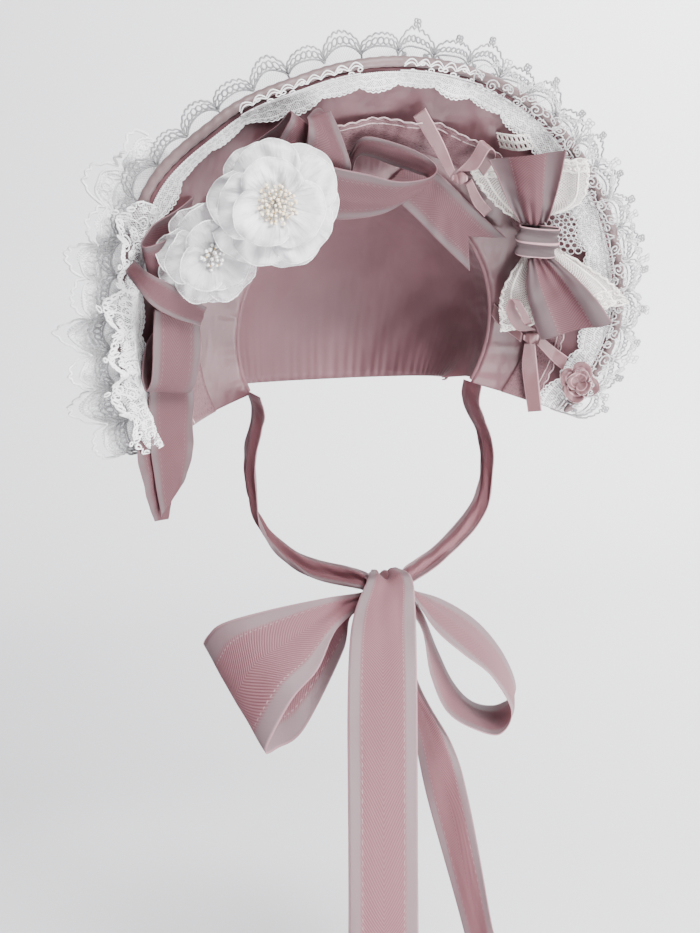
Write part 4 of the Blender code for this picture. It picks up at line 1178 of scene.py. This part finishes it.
# Degrees around and share of the full wave
stripFullness = {
    "headline_ruffle": ((-118.0, 0.1), (-20.0, 0.1), (-8.0, 0.4), (4.0, 0.6), (12.0, 1.1), (20.0, 1.1),
                        (30.0, 0.2), (118.0, 0.1)),
    "edge_lace": ((-118.0, 0.5), (-66.0, 0.5), (-52.0, 0.3), (-34.0, 0.3), (-20.0, 0.9), (118.0, 0.9)),
    "inner_lace": ((-118.0, 0.1), (-58.0, 0.1), (-48.0, 0.8), (-38.0, 0.1), (-22.0, 0.1), (-14.0, 0.7),
                   (10.0, 1.0), (24.0, 0.6), (32.0, 0.1), (118.0, 0.1)),
}

# How far the worked lace strays from its regular pattern, as a share of an arch
laceSway = {"front_lace": 0.11, "right_lace": 0.09, "edge_lace": 0.03, "side_lace": 0.06,
            "inner_lace": 0.03, "headline_ruffle": 0.0}
# Degrees around and depth of the inner lace as a share of its full width
innerDepth = ((-118.0, 0.90), (-92.0, 0.62), (-72.0, 0.55), (-58.0, 0.85), (-50.0, 0.50), (-36.0, 0.50),
              (-27.0, 0.95), (-14.0, 0.72), (0.0, 0.62), (16.0, 0.66), (34.0, 0.85), (56.0, 1.0),
              (118.0, 1.0))
lapRise = 0.0052                   # how high the inner lace rises where it laps over the piping


def stripPlace(name, u, v):
    strip = strips[name]
    around = mixed(strip["from"], strip["to"], u)
    across = np.full_like(around, strip["across"])
    span = np.linalg.norm(edgePoint(around) - openingPoint(around), axis=-1)
    lift = liningNormal(around, np.clip(across, 0.0, 1.0))
    share = tableValue(stripFullness[name], around) if name in stripFullness else np.ones_like(around)
    turn = math.pi * strip["waves"] * u
    arch = np.abs(np.sin(turn)) ** strip["round"]
    length = strip["width"] * v * (1.0 - strip["scallop"] + strip["scallop"] * arch * np.clip(v, 0.0, 1.0))
    full = np.clip(v, 0.0, 1.1)
    swing = np.sin(turn) * strip["wave"] * share * full ** 1.6
    ripple = strip["ripple"] * (0.1 + 0.9 * share) * unevenWave(turn * 1.7, strip["waves"]) * full
    if name == "inner_lace":
        length = length * np.where(v > 0.0, tableValue(innerDepth, around), 1.0)
    rise = strip["lean"] * length * (0.35 + 0.65 * share) + swing + ripple
    lap = -v / 0.32 if name == "inner_lace" else v / 0.35 - 0.2
    rise = rise + (lapRise * eased(lap) if name in ("front_lace", "right_lace", "inner_lace") else 0.0)
    return liningPoint(around, across + length / span) + lift * (strip["height"] + rise)[..., None]


def stripSheet(name, cells, depth, material, slot, nodes):
    strip = strips[name]
    run = brimRun * (strip["to"] - strip["from"]) / (2.0 * reach) * 1.3

    def place(u, v):
        return stripPlace(name, u, v * depth)

    return clothPiece(name + "_net", cells, place, (run, abs(strip["width"]) * depth), material, slot,
                      nodes, bonnet["lace"])


def fullRound(count):
    return np.arange(count) * fullTurn / count


# Motifs of the lace: lines of (along one arch, share of the strip's width, closed)
def arcLine(level, count, bumps=0, bump=0.0):
    s = np.linspace(0.0, 1.0, count)
    return s, level + bump * np.abs(np.sin(math.pi * bumps * s)), False


def ringLine(s, v, radius, cell, count=8, squash=1.0):
    turn = fullRound(count)
    return s + radius * squash / cell[0] * np.cos(turn), v + radius / cell[1] * np.sin(turn), True


def curlLine(s, v, radius, cell, winds, hand, count=18, start=0.0):
    turn = np.linspace(0.0, winds * fullTurn, count)
    reached = radius * (1.0 - 0.86 * np.linspace(0.0, 1.0, count))
    x, y = np.cos(turn + start), np.sin(turn + start)
    return s + hand * reached / cell[0] * x, v + reached / cell[1] * y, False


# A clover of rings round one point
def cloverLines(s, v, distance, radius, cell, count):
    turns = [fullTurn * (k + 0.5) / 4.0 for k in range(4)]
    return [ringLine(s + distance / cell[0] * math.cos(turn), v + distance / cell[1] * math.sin(turn),
                     radius, cell, count) for turn in turns]


# Even rings along an arch
def ringRow(v, number, radius, cell, count=8, squash=1.0):
    return [ringLine((k + 0.5) / number, v, radius, cell, count, squash) for k in range(number)]


def barLine(s0, v0, s1, v1, count=3):
    return np.linspace(s0, s1, count), np.linspace(v0, v1, count), False


def clearArch(cell):
    lines = [arcLine(0.975, 33, 7, 0.045), arcLine(0.80, 17), arcLine(0.53, 13), arcLine(0.46, 13),
             barLine(0.0, 0.1, 0.0, 0.97, 5)]
    return lines + ringRow(0.885, 7, 0.0018, cell, 8, 0.95)


def curlArch(cell):
    lines = [arcLine(0.94, 31, 7, 0.05), arcLine(0.74, 15), arcLine(0.10, 9),
             barLine(0.0, 0.1, 0.0, 0.95, 5)]
    lines += ringRow(0.84, 8, 0.0013, cell)
    lines.append(curlLine(0.5, 0.44, 0.0046, cell, 1.8, 1.0, 24))
    for hand in (-1.0, 1.0):
        lines.append(curlLine(0.5 + hand * 0.33, 0.34, 0.0030, cell, 1.7, -hand, 18, 1.2))
        lines.append(curlLine(0.5 + hand * 0.30, 0.62, 0.0020, cell, 1.3, hand, 12, -1.0))
        lines.append(barLine(0.5 + hand * 0.18, 0.5, 0.5 + hand * 0.40, 0.74))
    return lines + cloverLines(0.5, 1.045, 0.0013, 0.0010, cell, 7) + ringRow(0.17, 7, 0.0012, cell, 7)


def thickArch(cell):
    lines = [arcLine(0.97, 25, 5, 0.05), arcLine(0.88, 17), arcLine(0.70, 13)]
    lines += ringRow(0.79, 6, 0.0021, cell)
    lines += [curlLine(0.5, 0.46, 0.0056, cell, 1.8, 1.0, 24), ringLine(0.18, 0.36, 0.0030, cell, 10),
              curlLine(0.82, 0.38, 0.0036, cell, 1.4, 1.0, 14)]
    return lines


# Open curls and rounds that end in small clovers along the edge
def cloverArch(cell):
    lines = [arcLine(0.86, 25, 5, 0.08), arcLine(0.12, 9, 2, 0.04), barLine(0.06, 0.1, 0.0, 0.84, 5),
             curlLine(0.44, 0.48, 0.0050, cell, 1.7, 1.0, 24, 0.4),
             curlLine(0.80, 0.60, 0.0034, cell, 1.4, -1.0, 18),
             curlLine(0.16, 0.66, 0.0028, cell, 1.3, 1.0, 16, 2.0), barLine(0.44, 0.12, 0.40, 0.30, 4),
             barLine(0.66, 0.14, 0.74, 0.46, 4)]
    lines += cloverLines(0.5, 1.02, 0.0018, 0.0014, cell, 8)
    for place, level, radius in ((0.20, 0.34, 0.0024), (0.92, 0.30, 0.0022), (0.27, 0.93, 0.0018),
                                 (0.73, 0.92, 0.0019), (0.96, 0.86, 0.0016)):
        lines.append(ringLine(place, level, radius, cell, 10))
    return lines


def guipureArch(cell):
    lines = [arcLine(0.10, 9), arcLine(0.22, 13, 4, 0.05), barLine(0.0, 0.1, 0.02, 0.9, 6),
             barLine(0.5, 0.2, 0.44, 0.5, 4), barLine(0.8, 0.2, 0.86, 0.6, 4),
             barLine(0.22, 0.2, 0.20, 0.6, 4), arcLine(0.88, 25, 5, 0.10),
             curlLine(0.47, 0.56, 0.0044, cell, 1.8, 1.0, 24, 0.6),
             curlLine(0.20, 0.70, 0.0026, cell, 1.5, -1.0, 16, 2.0),
             curlLine(0.80, 0.66, 0.0030, cell, 1.6, -1.0, 18)]
    for s, v, radius in ((0.12, 0.42, 0.0021), (0.33, 0.33, 0.0017), (0.68, 0.36, 0.0020),
                         (0.92, 0.40, 0.0018), (0.5, 0.90, 0.0022), (0.30, 0.94, 0.0018),
                         (0.70, 0.93, 0.0018), (0.08, 0.88, 0.0017), (0.5, 1.06, 0.0015),
                         (0.93, 0.84, 0.0020)):
        lines.append(ringLine(s, v, radius, cell, 9))
    return lines


def picotArch(cell):
    lines = [arcLine(0.93, 31, 7, 0.075), arcLine(0.80, 15), arcLine(0.10, 7), arcLine(0.42, 13, 3, 0.09)]
    return (lines + ringRow(0.865, 7, 0.0009, cell, 7) + ringRow(0.62, 4, 0.0012, cell)
            + ringRow(0.26, 6, 0.0007, cell, 6))


# The inner lace's other edge, which laps outwards over the piping
def lapArch(cell):
    return [arcLine(-0.56, 25, 3, -0.26), arcLine(-0.46, 17, 3, -0.20), arcLine(-0.10, 9),
            curlLine(0.30, -0.32, 0.0034, cell, 1.5, 1.0, 18),
            curlLine(0.74, -0.26, 0.0026, cell, 1.3, -1.0, 14),
            ringLine(0.06, -0.46, 0.0017, cell), ringLine(0.54, -0.62, 0.0016, cell)]


# A motif drawn on some arches of a strip, each other one mirrored
def stripLines(name, arches, motif):
    strip = strips[name]
    run = brimRun * (strip["to"] - strip["from"]) / (2.0 * reach) * 1.25
    cell = (run / strip["waves"], abs(strip["width"]))
    lines = motif(cell)
    us = [(arch + (s if arch % 2 == 0 else 1.0 - s)) / strip["waves"]
          for arch in arches for s, _, _ in lines]
    vs = [v for _ in arches for _, v, _ in lines]
    u, v, sway = np.concatenate(us), np.concatenate(vs), laceSway[name]
    stray = u * strip["waves"]
    u = np.clip(u + sway * unevenWave(stray * 2.1 + v * 3.0, 1.0) / strip["waves"], 0.0, 1.0)
    v = v + sway * unevenWave(stray * 2.6 - v * 2.0, 2.0)
    points = stripPlace(name, u, v)
    ends = np.cumsum([len(u) for u in us])[:-1]
    closed = [c for _ in arches for _, _, c in lines]
    return list(zip(np.split(points, ends), closed))


def ruffleEdge(cell):
    return [arcLine(1.0, 13, 3, 0.05), arcLine(0.86, 9)]


def halfArches(count):
    return [k / 2.0 for k in range(count)]


# What each strip is worked in: its motifs and their arches, the cords' radius and thread, and the
# net under them with its cells, its share of the strip's width and the length of its cut. The
# worked lace of the two sides has its motifs at every half arch, each over the next.
laceWork = {
    "edge_lace": {"motifs": ((range(15), clearArch), (range(15, 30), curlArch)), "radius": 0.00072,
                  "thread": "darkShadedLaceThread", "net": "clearNet", "cells": (840, 16), "depth": 0.80,
                  "cut": 0.95},
    "side_lace": {"motifs": ((range(9), thickArch),), "radius": 0.00100, "thread": "laceThread",
                  "net": "softNet", "cells": (360, 20), "depth": 0.90, "cut": 0.26},
    "inner_lace": {"motifs": ((range(26), picotArch), ((9, 10, 11, 13, 14), lapArch)), "radius": 0.00045,
                   "thread": "laceThread", "net": "laceNet", "cells": (728, 12), "depth": 0.93,
                   "cut": 0.92},
    "front_lace": {"motifs": ((halfArches(11), guipureArch),), "radius": 0.00062, "thread": "laceThread",
                   "net": "clearNet", "cells": (240, 14), "depth": 0.80, "cut": 0.17},
    "right_lace": {"motifs": ((halfArches(17), cloverArch),), "radius": 0.00048, "thread": "rightThread",
                   "net": None},
    "headline_ruffle": {"motifs": ((range(24), ruffleEdge),), "radius": 0.00055, "thread": "pinkThread",
                        "net": "ruffle", "cells": (720, 10), "depth": 1.0, "cut": 0.62},
}
for name, work in laceWork.items():
    slot = "pink_satin" if name == "headline_ruffle" else "white_lace"
    if work["net"]:
        net = stripSheet(name, work["cells"], work["depth"], materials[work["net"]], slot,
                         () if name == "front_lace" else (name,))
    lines = [line for arches, motif in work["motifs"] for line in stripLines(name, arches, motif)]
    cords = threadPiece(name + "_cords", lines, work["radius"], materials[work["thread"]], slot)
print("lace done")

# Flowers: separate cupped petals of organza in layers, with a heap of beads in the middle
flowers = {
    "large_flower": {"place": (-42.6, 0.68, 1.36), "looks": (10.0, 2.0), "radius": 0.044, "bead": 0.00115,
                     "beads": 70, "heap": 0.0135, "material": "organza", "beadMaterial": "pearl"},
    "small_flower": {"place": (-65.3, 0.70, 0.945), "looks": (0.0, -8.0), "radius": 0.036, "bead": 0.0014,
                     "beads": 20, "heap": 0.0085, "material": "sheerOrganza", "beadMaterial": "silverBead"},
}
# A row for each layer of petals: petals, reach as a share of the radius, turn in degrees, rise
# at the middle and at the rim as shares of the radius, share of a turn that one petal spans
petalLayers = {
    "outer": ((6, 0.98, 8.0, -0.02, 0.06, 0.27),),
    "inner": ((5, 0.91, 38.0, 0.06, 0.22, 0.31), (3, 0.70, 20.0, 0.15, 0.44, 0.42)),
}
petal = {"cells": (34, 24), "wall": 0.00045, "hem": 0.00042, "rimSteps": 49, "uvSize": (1.0, 1.0)}
# How a petal lies, as shares of its radius
petalLay = {"cup": 0.12, "lap": 0.030, "ruffle": 0.060, "ruffles": 1.7, "roll": 2.1, "rollFrom": 0.82,
            "crease": 0.018, "valley": 0.06, "crumple": 0.046, "fineCrumple": 0.024}


def faceAxes(turnDegrees, liftDegrees):
    turn, lift = math.radians(turnDegrees), math.radians(liftDegrees)
    out = np.array([-math.sin(turn) * math.cos(lift), -math.cos(turn) * math.cos(lift), math.sin(lift)])
    side = np.array([math.cos(turn), -math.sin(turn), 0.0])
    return side, -np.cross(out, side), out


def petalPlace(middle, axes, radius, row, number, u, v):
    count, length, turn, low, high, spread = row
    side, up, out = axes
    seed = number * 2.3 + turn + count
    across = 2.0 * u - 1.0
    vary = math.sin(seed * 12.9)
    angle = fullTurn * (number / count + spread * 0.5 * across * (1.0 - 0.12 * v ** 3) + 0.02 * vary)
    angle = angle + math.radians(turn)
    rim = 1.0 - 0.30 * np.abs(across) ** 2.3 + 0.035 * np.sin(across * 4.0 + seed)
    rim = rim + 0.008 * np.sin(across * 13.0 + seed)
    outwards = radius * length * (1.0 + 0.05 * vary) * (0.05 + 0.95 * v * rim)
    height = mixed(low, high + 0.05 * math.sin(seed * 7.3), v ** 1.4)
    height = height - petalLay["cup"] * np.abs(across) ** 2 * v * (1.0 - 0.5 * v)
    height = height + petalLay["lap"] * across * (1.0 - v * 0.3)
    waves = np.sin(across * math.pi * petalLay["ruffles"] + seed * 1.7)
    height = height + petalLay["ruffle"] * waves * v ** 3
    height = height - petalLay["roll"] * np.clip(v - petalLay["rollFrom"], 0.0, 1.0) ** 2
    height = height + petalLay["crease"] * np.sin(across * 9.0 + seed * 3.0) * np.sin(math.pi * v) ** 0.7
    height = height - petalLay["valley"] * np.exp(-((across - 0.15 * np.sin(seed)) * 5.0) ** 2) * v
    height = height + petalLay["crumple"] * unevenWave(across * 5.0 + v * 5.0, seed) * v
    height = height + petalLay["fineCrumple"] * unevenWave(across * 15.0, seed) * v ** 4
    return (middle + (side * np.cos(angle)[..., None] + up * np.sin(angle)[..., None]) * outwards[..., None]
            + out * (radius * height)[..., None])


# Petals of all the rows of a layer as one piece, and the lines of their hems
def petalPiece(name, node, middle, axes, radius, rows, lay, material, slot):
    shape, hems = bmesh.new(), []
    for row in rows:
        for number in range(row[0]):
            def place(u, v):
                return petalPlace(middle, axes, radius, row, number, u, v)
            mesh = gridMesh("petal", lay["cells"], place, lay["uvSize"])
            shape.from_mesh(mesh)
            bpy.data.meshes.remove(mesh)
            hems.append((place(np.linspace(0.0, 1.0, lay["rimSteps"]), np.ones(lay["rimSteps"])), False))
    mesh = bpy.data.meshes.new(name)
    shape.to_mesh(mesh)
    shape.free()
    mesh.shade_smooth()
    return finished(walled(linked(name, mesh), petal["wall"]), material, slot, (node,)), hems


goldenTurn = 2.39996               # the turn from one bead of the heap to the next
# How the heap rises over the petals and how its small seeds and stamens lie
heapLay = {"lift": 0.27, "dome": 0.30, "uneven": 0.16, "seedSize": 0.55, "stamen": 0.00028}
for name, flower in flowers.items():
    around, across, height = flower["place"]
    middle = brimPlace(around, across, height * ribbonWidth)
    axes = faceAxes(*flower["looks"])
    radius = flower["radius"]
    for layer, rows in petalLayers.items():
        node = name + "_" + layer
        piece, hems = petalPiece(node + "_petals", node, middle, axes, radius, rows, petal,
                                 materials[flower["material"]], "white_organza")
        hem = threadPiece(node + "_hems", hems, petal["hem"], materials["laceThread"], "white_organza")
    count = flower["beads"]
    share = np.sqrt((np.arange(count) + 0.5) / count)
    spin = np.arange(count) * goldenTurn
    spot = flower["heap"] * share * (1.0 + 0.10 * np.sin(spin * 5.0))
    spin = spin + 0.10 * np.sin(np.arange(count) * 1.7)
    lift = radius * heapLay["lift"] + flower["heap"] * (heapLay["dome"] * (1.0 - share ** 2)
                                                        + heapLay["uneven"] * np.sin(spin * 3.1))
    beads = (middle + axes[0] * (spot * np.cos(spin))[:, None] + axes[1] * (spot * np.sin(spin))[:, None]
             + axes[2] * lift[:, None])
    beadPiece(name + "_beads", beads, flower["bead"], 0.15, 4, materials[flower["beadMaterial"]],
              "cream_pearl", (name + "_center",))
    gold = middle + (beads - middle) * 0.93 + axes[0] * (0.0011 * np.sin(spin * 7.0))[:, None]
    beadPiece(name + "_seeds", gold[::2] + axes[1] * 0.0012, flower["bead"] * heapLay["seedSize"], 0.2, 9,
              materials["goldBead"], "cream_pearl")
    root = middle + axes[2] * radius * 0.10
    stamens = []
    for bead in beads:
        bend = root + (bead - root) * 0.6 + axes[2] * 0.001
        stamens.append((np.stack([root + (bead - root) * 0.15, bend, bead]), False))
    threadPiece(name + "_stamens", stamens, heapLay["stamen"], materials["ivoryThread"], "white_organza",
                (), 3)

# The stalk under the large flower, from the lining to the flower's back
stalk = {"foot": (-43.0, 0.29, 0.0022), "radius": 0.003, "gap": 0.0008}
large = flowers["large_flower"]
flowerBack = brimPlace(*large["place"][:2], large["place"][2] * ribbonWidth)
stalkTop = flowerBack - faceAxes(*large["looks"])[2] * stalk["gap"]
stalkLine = np.linspace(brimPlace(*stalk["foot"]), stalkTop, 5)
threadPiece("large_flower_stalk", [(stalkLine, False)], stalk["radius"], materials["organza"],
            "white_organza", ("large_flower_stem",), 12)
print("flowers done")

# Flat round trims: a crocheted round of rings and a small rose of ribbon with a pale edge
# Degrees around, share across, height as a share of ribbonWidth
doilyPlace = (64.5, 0.76, 0.24)
doilyMiddle = brimPlace(*doilyPlace[:2], doilyPlace[2] * ribbonWidth)
doilyOut = liningNormal(np.array(doilyPlace[0]), np.array(doilyPlace[1]))
doilySide = unit(np.cross(np.array([0.0, 0.0, 1.0]), doilyOut))
doilyUp = np.cross(doilyOut, doilySide)
# Rings of the doily: how many, their distance from its middle, their own radius
doilyRings = ((1, 0.0, 0.0022), (8, 0.0048, 0.0018), (12, 0.0085, 0.0019), (16, 0.0125, 0.0022),
              (20, 0.0168, 0.0024))
doilyLay = {"thread": 0.00040, "dome": 0.0007, "ringSides": 10}
lines = []
spin = fullRound(doilyLay["ringSides"])
for count, distance, radius in doilyRings:
    for number in range(count):
        turn = fullTurn * (number + 0.5 * (count % 8 == 0)) / count
        x = distance * math.cos(turn) + radius * np.cos(spin)
        y = distance * math.sin(turn) + radius * np.sin(spin)
        dome = doilyOut * doilyLay["dome"] * math.sin(turn * 4.0 + distance * 300.0)
        lines.append((doilyMiddle + doilySide * x[:, None] + doilyUp * y[:, None] + dome, True))
# The doily is drawn in the grey thread of painted half shade
threadPiece("doily_crochet", lines, doilyLay["thread"], materials["rightThread"], "white_lace",
            ("doily",), 5)

rosettePlace = (109.0, 0.97, 0.155)
rosetteLay = {"cells": (20, 14), "rimSteps": 25, "radius": 0.015, "uvSize": (0.015, 0.015),
              "hem": 0.00032, "looks": (10.0, 10.0), "cut": 0.080}
rosetteRows = ((4, 1.0, 23.0, 0.02, 0.26, 0.32), (3, 0.62, 60.0, 0.10, 0.50, 0.38))
rosetteMiddle = brimPlace(*rosettePlace[:2], rosettePlace[2] * ribbonWidth)
rosette, hems = petalPiece("rosette_petals", "rosette", rosetteMiddle, faceAxes(*rosetteLay["looks"]),
                           rosetteLay["radius"], rosetteRows, rosetteLay, materials["narrowSatin"],
                           "pink_satin")
rosetteHem = threadPiece("rosette_hem", hems, rosetteLay["hem"], materials["pinkThread"], "pink_satin")

# A short crocheted tape with two rows of rings
tape = {"thread": 0.00055, "rings": 7, "rows": (0.25, 0.75), "ringLength": 0.062, "ringWidth": 0.22}
first, second = brimEdges(brimRibbons["lace_tape"])


def tapeLine(u, v):
    return curveAt(first, u) * (1.0 - v)[:, None] + curveAt(second, u) * v[:, None]


lines = [(tapeLine(np.linspace(0.0, 1.0, 13), np.full(13, v)), False) for v in (0.0, 0.5, 1.0)]
spin = fullRound(9)
for k in range(tape["rings"]):
    for v in tape["rows"]:
        u = np.clip((k + 0.5) / tape["rings"] + tape["ringLength"] * np.cos(spin), 0.0, 1.0)
        lines.append((tapeLine(u, v + tape["ringWidth"] * np.sin(spin)), True))
threadPiece("lace_tape_crochet", lines, tape["thread"], materials["ivoryThread"], "white_lace",
            ("lace_tape",), 5)

# Thick cords of the lace wings: scallops along the outer edge and eyelets inside it
# Levels of the scalloped lines with their depth, and of the eyelets with their radius
wingCords = {"thread": 0.00085, "lines": ((0.985, 0.05), (0.90, 0.04), (0.74, 0.03)),
             "eyelets": ((0.945, 0.026), (0.81, 0.034)), "eyeletWidth": 0.020, "edgeWave": 0.03,
             "edgeLine": 0.10}
scallops = 7
run = np.linspace(0.0, 1.0, scallops * 8 + 1)
along = np.linspace(0.15, 1.0, 49)
spin = fullRound(8)
for name in ("lace_wing_upper", "lace_wing_lower"):
    place = fanPlace(name)
    lines = []
    for level, deep in wingCords["lines"]:
        wave = np.abs(np.sin(math.pi * scallops * run))
        lines.append((place(level + deep * wave - deep * 0.3, run), False))
    for k in range(scallops * 2):
        v = np.clip((k + 0.5) / (scallops * 2) + wingCords["eyeletWidth"] * np.cos(spin), 0.0, 1.0)
        lines += [(place(level + radius * np.sin(spin), v), True) for level, radius in wingCords["eyelets"]]
    for side, inwards in ((0.0, 1.0), (1.0, -1.0)):
        wave = wingCords["edgeWave"] * np.abs(np.sin(along * math.pi * 9.0))
        lines.append((place(along, side + inwards * wave), False))
        lines.append((place(along, np.full(49, side + inwards * wingCords["edgeLine"])), False))
    threadPiece(name + "_cords", lines, wingCords["thread"], materials["ivoryThread"], "white_lace", (), 5)
print("trims done")


# The pale floor and backdrop, the lights and the camera at the photograph's angle
studio = {"floor": -0.615, "backdrop": 1.6, "curve": 0.5, "depth": 3.2, "height": 3.0, "width": 9.0,
          "air": 0.20, "paper": (0.52, 0.52, 0.54), "sky": (0.96, 0.965, 1.0)}
# Place, aim, size in metres and power in watts
lamps = {
    "key": ((0.25, -1.55, 1.35), (0.0, 0.0, -0.1), 0.9, 150.0),
    "fill": ((-1.6, -0.9, 0.1), (0.0, 0.0, -0.15), 1.6, 9.0),
    "backdrop_light": ((1.7, 0.3, 0.9), (1.5, 1.9, -0.3), 1.4, 200.0),
    "window": ((0.75, -0.60, -0.48), (0.0, -0.12, -0.50), 0.5, 26.0),
    "low": ((0.10, -0.62, -0.56), (0.03, -0.12, -0.60), 0.3, 13.0),
}
view = {"sensor": 36.0, "lens": 70.1, "place": (-0.4398, -1.2085, 0.062), "tilt": 78.8, "turn": -19.34}


def backdropSheet(u, v):
    bend = studio["curve"] * math.pi / 2.0
    run = v * (studio["depth"] + bend + studio["height"])
    flat = np.minimum(run, studio["depth"])
    turn = np.clip(run - studio["depth"], 0.0, bend) / studio["curve"]
    climb = np.maximum(run - studio["depth"] - bend, 0.0)
    y = studio["backdrop"] - studio["depth"] + flat + studio["curve"] * np.sin(turn) - studio["curve"]
    z = studio["floor"] + studio["curve"] * (1.0 - np.cos(turn)) + climb
    return np.stack([(u - 0.5) * studio["width"], y, z], -1)


paper, _, paperShader = newMaterial("paleFloor")
paperShader.inputs["Base Color"].default_value = (*studio["paper"], 1.0)
paperShader.inputs["Roughness"].default_value = 0.9
backdrop = linked("studio_floor", gridMesh("studio_floor", (8, 60), backdropSheet, (studio["width"], 7.0)))
backdrop.data.materials.append(paper)

air = bpy.data.worlds.new("softAir")
air.use_nodes = True
airNode = air.node_tree.nodes["Background"]
airNode.inputs["Color"].default_value = (*studio["sky"], 1.0)
airNode.inputs["Strength"].default_value = studio["air"]
bpy.context.scene.world = air

for name, (place, target, size, power) in lamps.items():
    light = bpy.data.lights.new(name, "AREA")
    light.size = size
    light.energy = power
    lamp = linked(name, light)
    lamp.location = place
    lamp.visible_camera = False
    lamp.rotation_euler = (Vector(target) - Vector(place)).to_track_quat("-Z", "Y").to_euler()

lens = bpy.data.cameras.new("camera")
lens.sensor_fit = "VERTICAL"
lens.sensor_height = view["sensor"]
lens.lens = view["lens"]
camera = linked("camera", lens)
camera.location = view["place"]
camera.rotation_euler = (math.radians(view["tilt"]), 0.0, math.radians(view["turn"]))
bpy.context.scene.camera = camera
print("stage, lights and camera done")
